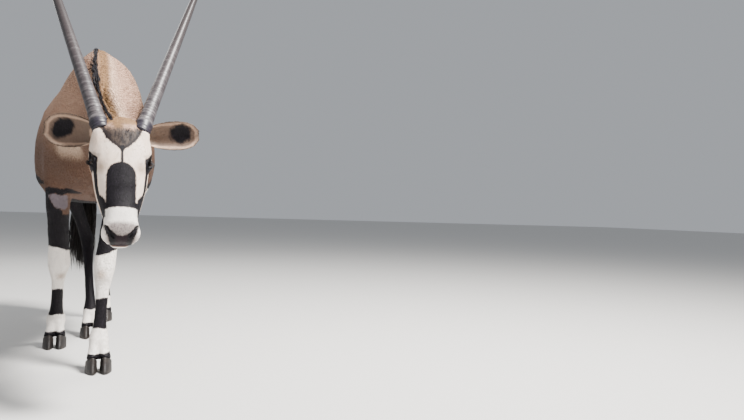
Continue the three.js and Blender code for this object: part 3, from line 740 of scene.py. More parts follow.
def ear_edge_gap(head, along, height):
    """How far inside the ear's outline a place lies, seen the way the cup opens."""
    gap = np.full(len(head), 0.05)
    for side in SIDES.values():
        own = np.where((on_ear > 0.5) & (head[:, 0] * side > 0))[0]
        a = (along[own] - 0.55) * EARS[side]["length"]
        turn = np.arctan2(height[own], a)
        reach = np.hypot(a, height[own])
        sector = np.floor((turn + math.pi) / (2 * math.pi) * EAR_SECTORS).astype(int) % EAR_SECTORS
        outline = np.zeros(EAR_SECTORS)
        np.maximum.at(outline, sector, reach)
        middles = (np.arange(EAR_SECTORS) + 0.5) / EAR_SECTORS * 2 * math.pi - math.pi
        gap[own] = np.interp(turn, middles, outline, period=2 * math.pi) - reach
    return gap


def ear_fields(head, normals):
    """Distances into the black of an ear, into its pale inner hair, and into its edge."""
    along, height, opens = ear_measures(head)
    facing = ((normals @ HEAD_AXES) * opens).sum(1)
    across = height - EAR_PATCH_AT[1]
    lean = np.where(head[:, 0] > 0, EARS[1]["lean"], EARS[-1]["lean"])
    far = np.hypot((along - EAR_PATCH_AT[0] + lean * across) / EAR_PATCH_SIZE[0],
                   across / EAR_PATCH_SIZE[1])
    patch = (1 - far) * 0.028 + wavering(head * 3.0, 0.0034)
    patch = all_of(patch, (facing - 0.05) * 0.05)
    edge = ear_edge_gap(head, along, height)
    rim = all_of(EAR_RIM - edge, (along - 0.30 + 0.16 * (height > 0)) * 0.2)
    fringe = any_of((0.36 - along) * 0.1, EAR_FRINGE - edge)
    return any_of(patch, rim), all_of((facing + 0.1) * 0.03, fringe), edge


# %% [markdown]
# ## Markings of the body
# A dark line runs down the crest and the back and ends in the black tail. A black band parts the
# tan flank from the white belly and joins black garters on the forearms and thighs. The lower
# legs are white, each with a black patch down the front of the cannon.

# %% Body markings
SPINE = CREST + [(0, 130, 1158), (0, 380, 1118), (0, 640, 1127), (0, 840, 1118), (0, 930, 1075),
                 (0, 1010, 1010), (-12, 1030, 930)]
SPINE_WIDTHS = [5, 5.5, 6, 6, 6.5, 7, 9, 9, 8, 8, 9, 18, 26, 26, 30]
GOLD_PATH = [(62, -640, 816), (50, -598, 842), (41, -532, 872), (29, -490, 904), (21, -440, 948),
             (18, -340, 1028), (15, -250, 1082), (13, -110, 1143), (10, 10, 1170)]
GOLD_WIDTHS = [15, 17, 18, 19, 19, 18, 17, 17, 12]
# Painted highlight: a cream strip along the ridge of the crest, beside the gold.
CREST_HIGHLIGHT_PATH = [(90, -636, 816), (74, -612, 832), (58, -552, 864), (48, -505, 900), (44, -440, 954),
              (42, -366, 1008), (40, -296, 1055), (34, -180, 1105)]
CREST_HIGHLIGHT_WIDTHS = [12, 13, 13, 12, 11, 10, 9, 5]
FLANK_Y = [0.10, 0.22, 0.38, 0.55, 0.70]
FLANK_Z = [0.652, 0.676, 0.694, 0.708, 0.750]
FLANK_HALF = [0.003, 0.012, 0.033, 0.036, 0.036]
# Painted shade: the white belly begins this far back, and in front of it the belly stays dark.
BELLY_START_X = [-0.12, -0.11, 0.11, 0.12]
BELLY_START_Y = [0.34, 0.39, 0.39, 0.24]
THROAT_LINE = [(74, -600, 640), (62, -430, 668), (30, -300, 690), (8, -238, 760), (4, -232, 850)]
THROAT_WIDTHS = [14, 16, 16, 18, 10]
# Painted highlight on the front of the right shoulder.
SHOULDER_HIGHLIGHT = [(-64, -240, 792), (-104, -175, 788)]
SHOULDER_HIGHLIGHT_WIDTHS = [46, 34]
KNEE_STAINS = [(-106, 159, 299), (34, -163, 336)]
INNER_EYE = (0.053, 0.014, -0.131)
STAIN = 0.016                                # radius of the stains on the knees and by the eyes
LEG_MIDDLES = (0.090, -0.124)                # x of the left and the right forearm
# Ranges along y or z, in metres from the withers' foot.
FLANK_BAND_Y = (0.06, 0.74)
# Black under the body behind the elbows: partly a real black band, partly painted shade over the
# white belly.
BRISKET_AND_SHADE_Y = (0.170, 0.400)
BRISKET_AND_SHADE_TOP, BRISKET_AND_SHADE_HALF = 0.640, 0.11
BELLY_END, BELLY_TOP = 0.80, 0.69
SHOULDER_Z = (0.50, 0.642)
FOREARM_TOPS = (0.545, 0.560)                # on the inner and on the other sides
WINDOW_Z = (0.5650, 0.6165)
THIGH_Z = (0.44, 0.76)
HIND_CANNON_Z = (0.121, 0.50)
HIND_WHITE_TOP = 0.45
PASTERN_TOP = 0.067
TURNED = 0.05                                # metres of depth for each unit that the skin turns
# Left, then right: heights of the cannon's black patch, and the garter's lower edge as a height,
# a slope and the x where it has that height.
FORE_CANNON = [(0.146, 0.2525), (0.132, 0.243)]
FORE_GARTER = [(0.409, 0.36, 0.044), (0.413, -0.20, -0.115)]


def body_fields(body, normals):
    """Distances into the black, the white and a window of white hair painted in shade, and the
    share of leg.
    """
    which, _, leg = leg_measures(body)
    y, z = body[:, 1], body[:, 2]
    fore = which < 2
    outward = normals[:, 0] * np.where(which % 2 == 0, 1.0, -1.0)
    ahead = -normals[:, 1]
    spine = stroke(body, SPINE, SPINE_WIDTHS, normals)
    z = z + wavering(body, 0.004)
    band_z = np.interp(y, FLANK_Y, FLANK_Z)
    half = np.interp(y, FLANK_Y, FLANK_HALF)
    band = all_of(half - np.abs(z - band_z), between(y, *FLANK_BAND_Y))
    # The black reaches back under the belly to 0.40 m and the white belly begins only behind it:
    # partly a black band behind the elbows, partly painted shade over the front of the white belly.
    brisket_and_belly_shade = all_of(BRISKET_AND_SHADE_TOP - z, BRISKET_AND_SHADE_HALF - np.abs(body[:, 0]))
    band = any_of(band, rounded(brisket_and_belly_shade, between(y, *BRISKET_AND_SHADE_Y)))
    belly_start = np.interp(body[:, 0], BELLY_START_X, BELLY_START_Y)
    belly = all_of(band_z - half - z, between(y, belly_start, BELLY_END), BELLY_TOP - z)
    throat_line = stroke(body, THROAT_LINE, THROAT_WIDTHS)
    left = which % 2 == 0
    out = np.where(left, 1.0, -1.0) * (body[:, 0] - np.where(left, *LEG_MIDDLES))
    garter = np.zeros(len(body))
    cannon = np.zeros(len(body))
    for own, (height, slope, middle), (low, high) in zip((left, ~left), FORE_GARTER, FORE_CANNON):
        garter = np.where(own, z - height - slope * (body[:, 0] - middle), garter)
        cannon = np.where(own, between(z, low, high), cannon)
    forearm = all_of(garter, np.where(outward < -0.45, *FOREARM_TOPS) - z)
    shoulder_edge = (ahead * 0.8 + outward - 0.30) * TURNED
    forearm = any_of(forearm, rounded(between(z, *SHOULDER_Z), shoulder_edge))
    # A window of white hair on the inner forearm, coloured as white in shade: painted shade.
    window_in_shade = all_of(between(z, *WINDOW_Z), (ahead - 0.25) * TURNED)
    window_in_shade = rounded(window_in_shade, all_of(0.006 - out + (z - 0.566) * 0.55, out + 0.036), 0.006)
    fore_patch = rounded(cannon, (ahead - 0.10) * 0.035, 0.014)
    fore_black = any_of(all_of(forearm, -window_in_shade), fore_patch)
    thigh_edge = (ahead + 0.55 * np.abs(outward) + 0.20) * TURNED
    hind_patch = rounded(between(z, *HIND_CANNON_Z), (ahead + 0.30) * 0.03, 0.014)
    hind_black = any_of(all_of(between(z, *THIGH_Z), thigh_edge), hind_patch)
    pastern = all_of(PASTERN_TOP - z, (ahead + 0.6) * 0.03)
    leg_black = any_of(np.where(fore, fore_black, hind_black), pastern)
    black = any_of(np.where(leg > 0.3, leg_black, NOWHERE),
                   np.where(leg > 0.5, NOWHERE, any_of(band, throat_line)), spine)
    leg_white = np.where(fore, 0.003 - garter, HIND_WHITE_TOP - z)
    white = np.where(leg > 0.3, leg_white, belly)
    painted_shade = np.where((leg > 0.3) & fore, window_in_shade, NOWHERE)
    return black, white, leg, painted_shade


skin_normals = corner_normals(skin_corners, skin_triangles)
head_places = to_head(skin_corners)
head_mirror = mirrored(head_places)
head_x, head_y, head_z = head_mirror.T
on_head = head_share(body_places)
on_ear = ear_share(body_places)
face = on_head > 0.5
ears = on_ear > 0.5

black, white, on_leg, painted_shade = body_fields(body_places, skin_normals)
face_black, face_white, face_grey, face_nose, face_dark = face_fields(head_places)
ear_black, ear_pale, ear_edge = ear_fields(head_places, skin_normals)
black = np.where(face, any_of(face_black, all_of(black, 0.02)), black)
black = np.where(ears, ear_black, black)
white = np.where(ears, NOWHERE, np.where(face, face_white, white))
grey = np.where(face & ~ears, face_grey, NOWHERE)
gold = stroke(body_places, GOLD_PATH, GOLD_WIDTHS, skin_normals)
poll = all_of(head_z - 0.001 - 0.2 * head_x, 0.075 - head_x)
gold = any_of(gold, np.where((on_head > 0.4) & ~ears, poll, NOWHERE))
# The pale tone: painted highlight along the crest and on the right shoulder, and on the ears their
# real pale inner hair.
pale = stroke(body_places, CREST_HIGHLIGHT_PATH, CREST_HIGHLIGHT_WIDTHS, skin_normals)
pale = np.where(on_head > 0.4, NOWHERE, pale)
pale = any_of(pale, stroke(body_places, SHOULDER_HIGHLIGHT, SHOULDER_HIGHLIGHT_WIDTHS))
pale = np.where(ears, ear_pale, pale)
# Painted shade: on the sides of the body the dark brown reaches up to 7 cm higher.
flank_shade_lift = 0.07 * ramp(np.abs(body_places[:, 0]), 0.13, 0.20)
# Darker towards the bottom of the body: partly the chest's own browner coat, partly painted shade
# under the body.
brown_and_shade = (1 - ramp(body_places[:, 2] - flank_shade_lift, 0.72, 0.95)) * (1 - on_head)
smudge = STAIN - np.linalg.norm(head_mirror - INNER_EYE, axis=1)
for knee in np.array(KNEE_STAINS) / 1000.0:
    smudge = any_of(smudge, STAIN - np.linalg.norm(body_places - knee, axis=1))
lip = all_of(0.015 - np.abs(head_y - 0.080), -0.325 - head_z, 0.030 - head_x)
# Painted shade: grey strokes in the folds of the white nostril wings.
wing_fold_shade = stroke(head_mirror * [1, 0, 1], WING_FOLD_SHADE, [0.4, 1.9, 1.0])
painted_shade = any_of(painted_shade, np.where(face & (head_y < 0.05), wing_fold_shade, NOWHERE))
FIELDS = {
    "black": black, "white": white, "grey": grey, "gold": gold, "pale": pale, "brown_and_shade": brown_and_shade,
    "painted_shade": painted_shade, "smudge": smudge, "lip": lip, "ear": on_ear,
    "nose": np.where(face, face_nose, NOWHERE),
    "dark": np.where(face, face_dark, NOWHERE),
    "ear_edge": np.where(ears, ear_edge, 0.0),
    "pit": head_x - 0.015,
    "warm": on_head * ramp(head_z, -0.262, -0.236),
    "vee": np.interp(head_z, HAIR_EDGE_Z, HAIR_EDGE_X) - head_x,
}
for field_name, values in FIELDS.items():
    put_floats(skin.data, field_name, values)
print("markings:", ", ".join(FIELDS), round(time.time() - STARTED, 1), "s")

# %% [markdown]
# ## The lie of the coat
# Hair has a direction everywhere: back along the neck and flanks, down the legs, down the face
# and out along the ears. It is one vector at each corner. The coat's length and thickness are
# numbers beside it: shortest on the face and feet, longer on the shoulders and the throat.

# %% Lie, length and parts of the coat
LEG_COAT, FOOT_COAT, EAR_COAT = 0.62, 0.45, 0.42     # length of the coat as a share of the body's


def blended(first, second, share):
    return first * (1 - share[:, None]) + second * share[:, None]


def lie_of_coat(body, head, normals):
    _, run, leg = leg_measures(body)
    sideways = np.sign(head[:, 0])[:, None] * [1.0, 0.0, 0.0]
    chest = ramp(-normals[:, 1], 0.4, 0.9) * (1 - ramp(body[:, 1], -0.15, -0.02))
    lie = blended(np.array([0.0, 1.0, -0.42]), np.array([0.0, 0.2, -1.0]), chest)
    lie = blended(lie, np.array([0.0, 0.35, -1.0]), ramp(body[:, 1], 0.70, 0.92))
    lie = blended(lie, run, leg)
    brow = ramp(head[:, 2], -0.09, -0.03)
    face = blended([0.0, 0.25, -1.0] + 0.25 * sideways, [0.0, 0.5, 1.0] + 0.35 * sideways, brow)
    face = blended(face, np.array([0.0, 1.0, -0.25]), ramp(head[:, 1], 0.05, 0.10))
    face = blended(face, sideways + [0.0, 0.1, 0.1], on_ear)
    lie = blended(lie, face @ HEAD_AXES.T, on_head)
    lie -= normals * (lie * normals).sum(1)[:, None]
    return lie / (np.linalg.norm(lie, axis=1)[:, None] + 1e-9)


def coat_length(body, head):
    length = 1 - on_leg + LEG_COAT * on_leg
    length = np.where(body[:, 2] < FOOT_TOP, FOOT_COAT, length)
    face = 0.34 + 0.25 * ramp(head[:, 2], -0.16, 0.0) + 0.25 * ramp(head[:, 1], 0.06, 0.13)
    length = length * (1 - on_head) + face * on_head
    length = length * (1 - on_ear) + EAR_COAT * on_ear
    bare = np.maximum(lip, stroke(head_mirror, NOSTRIL, NOSTRIL_WIDTHS))
    eye_front = EYE_AT + EYE_RADIUS * np.array(EYE_LOOK)
    length *= ramp(np.linalg.norm(head_mirror - eye_front, axis=1), 0.017, 0.024)
    return length * (1 - on_head * ramp(bare, -0.003, 0.001))


lie = lie_of_coat(body_places, head_places, skin_normals)
put_floats(skin.data, "lie", lie)
put_floats(skin.data, "fall", ramp(np.abs(lie[:, 2]), 0.45, 0.85))
put_floats(skin.data, "length", coat_length(body_places, head_places))

COAT_PARTS = ["head", "neck", "shoulder_left", "shoulder_right", "haunch_left", "haunch_right",
              "forelegs", "hindlegs"]
middles = body_places[skin_triangles].mean(axis=1)
leg_number, _, leg_share = leg_measures(middles)
part = np.where(middles[:, 0] > 0.006, 2, 3) + np.where(middles[:, 1] > 0.36, 2, 0)
part = np.where(middles[:, 1] < -0.14, 1, part)
part = np.where(leg_share > 0.5, np.where(leg_number < 2, 6, 7), part)
part = np.where(head_share(middles) > 0.5, 0, part)
layer = skin.data.attributes.new("coat_part", "INT", "FACE")
layer.data.foreach_set("value", part.astype(np.int32))
first, second, third = (skin_corners[skin_triangles[:, k]] for k in range(3))
areas = 0.5 * np.linalg.norm(np.cross(second - first, third - first), axis=1)
part_area = np.bincount(part, areas, len(COAT_PARTS))
print("coat areas", dict(zip(COAT_PARTS, part_area.round(3))))

# %% [markdown]
# ## A map of the skin for the coat
# Every tuft carries a tiny patch of texture at the place of its root, on an unwrap of the
# skin's own shape. So the skin is unwrapped first, and that map is named OFBake.

# %% Unwrap the skin
SEAM_ANGLE = 66                              # degrees
MAP_GAP = 0.0012


def unwrap(obj):
    bpy.ops.object.select_all(action="DESELECT")
    bpy.context.view_layer.objects.active = obj
    obj.select_set(True)
    bpy.ops.object.mode_set(mode="EDIT")
    bpy.ops.mesh.select_all(action="SELECT")
    bpy.ops.uv.smart_project(angle_limit=math.radians(SEAM_ANGLE), island_margin=MAP_GAP)
    bpy.ops.object.mode_set(mode="OBJECT")
    obj.data.uv_layers[0].name = "OFBake"


unwrap(skin)
print("unwrapped", round(time.time() - STARTED, 1), "s")

# %% [markdown]
# ## Shader helpers
# The materials below are made of a few kinds of step: a stored number, noise, a soft threshold,
# a mix of two colours and a row of tones. Each is one short function.

# %% Steps of a shader
def stored(tree, name):
    return add_node(tree, "ShaderNodeAttribute", attribute_name=name).outputs["Fac"]


def object_place(tree):
    return add_node(tree, "ShaderNodeTexCoord").outputs["Object"]


def noise_of(tree, place, scale, detail, stretch=None, roughness=0.5):
    if stretch:
        place = add_node(tree, "ShaderNodeMapping", {"Vector": place, "Scale": stretch}).outputs[0]
    return add_node(tree, "ShaderNodeTexNoise", {"Vector": place, "Scale": scale, "Detail": detail,
                                                 "Roughness": roughness}).outputs["Fac"]


def soft_step(tree, value, low, high):
    """0 below low, 1 above high, and a smooth change between them."""
    return add_node(tree, "ShaderNodeMapRange", {"Value": value, "From Min": low, "From Max": high},
                    interpolation_type="SMOOTHSTEP").outputs["Result"]


def straight(tree, value, low, high, first, last):
    """From first at low to last at high, along a straight line."""
    return add_node(tree, "ShaderNodeMapRange", {"Value": value, "From Min": low, "From Max": high,
                                                 "To Min": first, "To Max": last}).outputs["Result"]


def mix(tree, amount, first, second):
    return add_node(tree, "ShaderNodeMix", {0: amount, 6: first, 7: second},
                    data_type="RGBA").outputs[2]


def tones(tree, value, stops):
    """A colour for each value, between stops of (place, colour)."""
    made = add_node(tree, "ShaderNodeValToRGB", {"Fac": value})
    elements = made.color_ramp.elements
    for element, (position, colour) in zip((elements[0], elements[1]), (stops[0], stops[-1])):
        element.position, element.color = position, colour
    for position, colour in stops[1:-1]:
        elements.new(position).color = colour
    return made.outputs[0]


def brightened(tree, colour, value):
    return add_node(tree, "ShaderNodeHueSaturation", {"Color": colour, "Value": value}).outputs[0]


def bump(tree, height, strength, distance):
    return add_node(tree, "ShaderNodeBump", {"Height": height, "Strength": strength,
                                             "Distance": distance}).outputs[0]


def new_material(name, surface_of):
    """A material whose surface takes the inputs that surface_of(tree) returns."""
    material = bpy.data.materials.new(name)
    material.use_nodes = True
    tree = material.node_tree
    surface = tree.nodes["Principled BSDF"]
    for label, value in surface_of(tree).items():
        fill(tree, surface.inputs[label], value)
    return material


print("shader helpers ready")

# %% [markdown]
# ## The finish of skin and coat
# One material serves both. It lays colours over each other from tan to black, each where the
# distance stored for it says so, and breaks them up with noise that is stretched along the body
# as hair is. Roots are darker than tips, and each tuft has a shade of its own.

# %% Coat material
TAN = (0.445, 0.278, 0.196, 1)
TAN_DARK = (0.35, 0.212, 0.148, 1)
# The chest's browner tone, darkened further as painted shade.
BROWN_AND_SHADE = (0.062, 0.030, 0.020, 1)
WHITE = (0.88, 0.82, 0.76, 1)
BLACK = (0.0045, 0.0036, 0.0050, 1)
BLACK_SHEEN = (0.024, 0.018, 0.028, 1)
WARM_WHITE = (0.83, 0.66, 0.54, 1)
GOLD = (0.200, 0.112, 0.050, 1)
GOLD_SPECKS = (0.075, 0.036, 0.020, 1)
# Pale inner hair of the ears, and painted highlight on the crest and shoulder.
PALE_HAIR_AND_HIGHLIGHT = (0.62, 0.455, 0.335, 1)
GREY = (0.060, 0.043, 0.034, 1)
GREY_DARK = (0.011, 0.0075, 0.0085, 1)
NOSE = (0.29, 0.250, 0.235, 1)
NOSE_DARK = (0.014, 0.007, 0.010, 1)
LIP = (0.110, 0.050, 0.034, 1)
SMUDGE = (0.30, 0.20, 0.135, 1)
# White hair in painted shade, on the forearm's window and in the folds of the nostril wings.
PAINTED_SHADE_GREY = (0.150, 0.125, 0.140, 1)
# Painted shade in the ear's cup.
EAR_CUP_SHADE = (0.105, 0.074, 0.058, 1)
RAGGED = 0.012                               # metres by which noise may shift a marking's edge
BLACK_SOFT = 0.0022
EAR_BLACK_SOFT = 0.0042


def coat_surface(tree, tufted=False):
    place = object_place(tree)

    def plus(a, b):
        return maths(tree, "ADD", a, b)

    def times(a, b):
        return maths(tree, "MULTIPLY", a, b)

    def noise(scale, detail, stretch=None):
        return noise_of(tree, place, scale, detail, stretch, roughness=0.6)

    def over(colour, amount, tone):
        return mix(tree, amount, colour, tone)

    ragged = times(maths(tree, "SUBTRACT", noise(260.0, 2.0, (1, 1, 0.35)), 0.5), RAGGED)

    def mask(name, softness, raggedness=1.0):
        shifted = plus(stored(tree, name), times(ragged, raggedness))
        return soft_step(tree, shifted, -softness, softness)

    def along_hair(scale, detail, level, falling):
        """Noise drawn out along the hair, where it lies level and where it falls."""
        return mix(tree, stored(tree, "fall"), noise(scale, detail, level),
                   noise(scale, detail, falling))

    specks = soft_step(tree, noise(75.0, 2.0, (1.0, 1.0, 0.5)), 0.56, 0.68)
    gold = mix(tree, times(specks, 0.6), GOLD, GOLD_SPECKS)
    # Painted shade: the ear's cup is darker away from its pale edge.
    ear_cup_shade = times(stored(tree, "ear"), soft_step(tree, stored(tree, "ear_edge"), 0.008, 0.017))
    strands_grey = soft_step(tree, noise(130.0, 3.0, (1.0, 0.5, 0.10)), 0.30, 0.66)
    brow = mix(tree, strands_grey, GREY_DARK, GREY)
    brow = mix(tree, soft_step(tree, stored(tree, "vee"), 0.003, 0.020), GREY_DARK, brow)
    warmth = times(stored(tree, "warm"), plus(0.35, noise(22.0, 2.0)))
    white = mix(tree, warmth, WHITE, WARM_WHITE)
    pores = soft_step(tree, noise(230.0, 2.0), 0.36, 0.56)
    nose = over(mix(tree, pores, NOSE_DARK, NOSE), 0.60, NOSE)
    edging = mix(tree, soft_step(tree, stored(tree, "pit"), -0.006, 0.006), NOSE_DARK, BLACK)
    # Lighter violet streaks on all the black: partly its fine pale hairs, partly a painted sheen.
    glint = soft_step(tree, noise(520.0, 2.0, (1.0, 1.0, 0.25)), 0.50, 0.72)
    night = mix(tree, times(glint, 0.7), BLACK, BLACK_SHEEN)
    black_edge = plus(BLACK_SOFT, times(stored(tree, "ear"), EAR_BLACK_SOFT))
    black_depth = plus(stored(tree, "black"), times(ragged, 0.55))
    black_mask = soft_step(tree, maths(tree, "DIVIDE", black_depth, black_edge), -1.0, 1.0)

    colour = mix(tree, times(noise(6.0, 2.0), 0.6), TAN, TAN_DARK)
    for amount, tone in ((times(stored(tree, "brown_and_shade"), 0.85), BROWN_AND_SHADE),
                         (times(mask("pale", 0.024, 1.5), 0.80), PALE_HAIR_AND_HIGHLIGHT),
                         (times(mask("gold", 0.009, 1.5), 0.95), gold),
                         (times(ear_cup_shade, 0.85), EAR_CUP_SHADE),
                         (mask("grey", 0.005, 1.5), brow),
                         (mask("painted_shade", 0.003), PAINTED_SHADE_GREY),
                         (mask("white", 0.003), white),
                         (times(mask("smudge", 0.015), 0.70), SMUDGE),
                         (mask("nose", 0.009), nose),
                         (mask("dark", 0.0025, 0.8), edging),
                         (mask("lip", 0.003, 0.3), LIP),
                         (black_mask, night)):
        colour = over(colour, amount, tone)
    value = plus(0.80, times(along_hair(150.0, 3.0, (1.0, 0.20, 0.6), (1.0, 1.0, 0.20)), 0.36))
    if tufted:
        for name in ("tip", "shade"):
            value = plus(value, times(maths(tree, "SUBTRACT", stored(tree, name), 0.5), 0.12))
    fine = along_hair(430.0, 2.0, (1.0, 0.22, 0.6), (1.0, 1.0, 0.22))
    return {"Base Color": brightened(tree, colour, value), "Roughness": 0.60,
            "Specular IOR Level": 0.16, "Normal": bump(tree, fine, 0.5, 0.0014)}


skin_finish = new_material("short coat over skin", coat_surface)
tuft_finish = new_material("coat tufts", lambda tree: coat_surface(tree, tufted=True))
skin.data.materials.clear()
skin.data.materials.append(skin_finish)
print("materials:", skin_finish.name, "and", tuft_finish.name)

# %% [markdown]
# ## One tuft, and the tree that plants it
# A tuft is a thin closed blade of a few faces: it leaves the skin at a slant, lies over and comes
# to a point. Geometry Nodes scatter it on one part of the skin, turn it along the stored lie,
# size it by the stored length, and give it its colour patch. The seed is fixed, so every run
# plants the same coat.

# %% Tuft shapes
def blade_faces(rows):
    """The faces of a three-sided blade: its sides, its point and its closed root."""
    base = 3 * (rows - 1)
    point = [(base + k, base + (k + 1) % 3, base + 3) for k in range(3)]
    return ring_faces(rows, 3) + point + [(2, 1, 0)]


def blade(name, rings):
    """A closed blade along +X through (x, height, half width, thickness) rings to a point."""
    corners = []
    for x, height, half, thick in rings[:-1]:
        corners += [(x, -half, height), (x, half, height), (x, 0.0, height + thick)]
    tip_x, tip_height = rings[-1][:2]
    corners.append((tip_x, 0.0, tip_height))
    made = make_object(name, corners, blade_faces(len(rings) - 1))
    put_floats(made.data, "tip", np.array(corners)[:, 0] / tip_x)
    made.hide_render = True
    return smooth_shaded(made)


SHORT_TUFT = blade("short_tuft", [(0.0, -0.08, 0.30, 0.05), (0.42, 0.055, 0.5, 0.06), (1.0, 0.075)])
LONG_TUFT = blade("long_tuft", [(0.0, -0.06, 0.30, 0.04), (0.22, 0.10, 0.5, 0.05),
                                (0.50, 0.15, 0.45, 0.04), (0.78, 0.12, 0.28, 0.03), (1.0, 0.03)])
print("tuft faces:", len(SHORT_TUFT.data.polygons), "and", len(LONG_TUFT.data.polygons))

# %% Planting tree
PATCH = 0.003                                # width of a tuft's patch on the map
PLANTING_INPUTS = {"Skin": "Geometry", "Tuft": "Object", "Part": "Int", "Density": "Float",
                   "Length": "Float", "Width": "Float", "Slant": "Float", "Scatter": "Float",
                   "Seed": "Int", "Finish": "Material"}


def planting_tree():
    tree = bpy.data.node_groups.new("plant_tufts", "GeometryNodeTree")
    for label, kind in PLANTING_INPUTS.items():
        tree.interface.new_socket(label, in_out="INPUT", socket_type="NodeSocket" + kind)
    tree.interface.new_socket("Coat", in_out="OUTPUT", socket_type="NodeSocketGeometry")
    given = add_node(tree, "NodeGroupInput").outputs

    def named(name, kind="FLOAT"):
        return add_node(tree, "GeometryNodeInputNamedAttribute", {"Name": name},
                        data_type=kind).outputs["Attribute"]

    def times(a, b):
        return maths(tree, "MULTIPLY", a, b)

    def chance(low, high, offset):
        seed = maths(tree, "ADD", given["Seed"], offset)
        return add_node(tree, "FunctionNodeRandomValue", {2: low, 3: high, "Seed": seed},
                        data_type="FLOAT").outputs[1]

    def keep(geometry, name, value, kind, domain="POINT"):
        return add_node(tree, "GeometryNodeStoreNamedAttribute",
                        {"Geometry": geometry, "Name": name, "Value": value},
                        data_type=kind, domain=domain).outputs[0]

    here = add_node(tree, "FunctionNodeCompare", {2: named("coat_part", "INT"), 3: given["Part"]},
                    data_type="INT", operation="EQUAL")
    roots = add_node(tree, "GeometryNodeDistributePointsOnFaces",
                     {"Mesh": given["Skin"], "Selection": here.outputs[0],
                      "Density": given["Density"], "Seed": given["Seed"]},
                     distribute_method="RANDOM")
    aim = add_node(tree, "FunctionNodeAxesToRotation",
                   {"Primary Axis": roots.outputs["Normal"],
                    "Secondary Axis": named("lie", "FLOAT_VECTOR")},
                   primary_axis="Z", secondary_axis="X")
    turn = add_node(tree, "ShaderNodeCombineXYZ",
                    {"X": times(given["Scatter"], chance(-1.0, 1.0, 11)),
                     "Y": times(given["Slant"], chance(-1.6, -0.3, 12)),
                     "Z": times(given["Scatter"], chance(-1.0, 1.0, 13))})
    spin = add_node(tree, "FunctionNodeEulerToRotation", {"Euler": turn.outputs[0]})
    aim = add_node(tree, "FunctionNodeRotateRotation",
                   {"Rotation": aim.outputs[0], "Rotate By": spin.outputs[0]},
                   rotation_space="LOCAL")
    long = times(times(given["Length"], named("length")), chance(0.7, 1.25, 14))
    wide = times(times(given["Width"], chance(0.7, 1.3, 15)),
                 maths(tree, "ADD", 0.4, times(0.6, named("length"))))
    size = add_node(tree, "ShaderNodeCombineXYZ", {"X": long, "Y": wide, "Z": long})
    points = keep(roots.outputs["Points"], "shade", chance(0.0, 1.0, 16), "FLOAT")
    points = keep(points, "root_map", named("OFBake", "FLOAT_VECTOR"), "FLOAT_VECTOR")
    grown = add_node(tree, "FunctionNodeCompare", {"A": named("length"), "B": 0.08},
                     data_type="FLOAT", operation="GREATER_THAN")
    tuft = add_node(tree, "GeometryNodeObjectInfo", {"Object": given["Tuft"]})
    planted = add_node(tree, "GeometryNodeInstanceOnPoints",
                       {"Points": points, "Selection": grown.outputs[0],
                        "Instance": tuft.outputs["Geometry"], "Rotation": aim.outputs[0],
                        "Scale": size.outputs[0]})
    real = add_node(tree, "GeometryNodeRealizeInstances", {"Geometry": planted.outputs[0]})
    zigzag = maths(tree, "FRACT", times(named("tip"), 7.3))
    step = add_node(tree, "ShaderNodeCombineXYZ",
                    {"X": times(PATCH, maths(tree, "SUBTRACT", named("tip"), 0.5)),
                     "Y": times(PATCH, maths(tree, "SUBTRACT", zigzag, 0.5)), "Z": 0.0})
    spot = add_node(tree, "ShaderNodeVectorMath",
                    {0: named("root_map", "FLOAT_VECTOR"), 1: step.outputs[0]}, operation="ADD")
    patched = keep(real.outputs[0], "OFBake", spot.outputs[0], "FLOAT2", "CORNER")
    finished = add_node(tree, "GeometryNodeSetMaterial",
                        {"Geometry": patched, "Material": given["Finish"]})
    add_node(tree, "NodeGroupOutput", {"Coat": finished.outputs[0]})
    return tree


PLANTING = planting_tree()


def plant(name, mesh, **values):
    """Tufts planted on a mesh. The values are named as the tree's inputs are."""
    bearer = bpy.data.objects.new(name, mesh)
    bpy.context.scene.collection.objects.link(bearer)
    modifier = bearer.modifiers.new("plant", "NODES")
    modifier.node_group = PLANTING
    for item in PLANTING.interface.items_tree:
        if item.in_out == "INPUT" and item.name in values:
            modifier[item.identifier] = values[item.name]
    return smooth_shaded(plain_copy(bearer))


print("planting tree:", len(PLANTING.nodes), "nodes")

# %% [markdown]
# ## The short coat
# Each part of the body gets its own piece of coat, so that no piece grows too heavy. A gemsbok's
# coat is short and sleek: tufts of about a centimetre that lie almost flat.

# %% Plant the coat
FIRST_SEED = 40
COAT_PLAN = {                                # tufts, length, width, slant and scatter
    "head": (19000, 0.0085, 0.0018, 0.05, 0.12),
    "neck": (19000, 0.0145, 0.0026, 0.035, 0.12),
    "shoulder_left": (17000, 0.0150, 0.0031, 0.035, 0.10),
    "shoulder_right": (17500, 0.0150, 0.0031, 0.035, 0.10),
    "haunch_left": (16500, 0.0160, 0.0034, 0.035, 0.10),
    "haunch_right": (16500, 0.0160, 0.0034, 0.035, 0.10),
    "forelegs": (14000, 0.0110, 0.0024, 0.04, 0.10),
    "hindlegs": (13500, 0.0110, 0.0024, 0.04, 0.10),
}
coat = []
for number, part_name in enumerate(COAT_PARTS):
    count, length, width, slant, scatter = COAT_PLAN[part_name]
    piece = plant("coat_" + part_name, skin.data, Tuft=SHORT_TUFT, Part=number,
                  Density=count / part_area[number], Length=length, Width=width, Slant=slant,
                  Scatter=scatter, Seed=FIRST_SEED + number, Finish=tuft_finish)
    coat.append(piece)
    print(piece.name, len(triangles_of(piece.data)), "triangles")
print("coat planted", round(time.time() - STARTED, 1), "s")

# %% [markdown]
# ## The mane
# Along the crest the hair stands up a little and leans back. A copy of the skin serves as a bed:
# only its faces within about a centimetre of the crest count, and their lie is turned backwards
# and up. The same tree plants longer blades there, which keep the skin's dark line and gold.

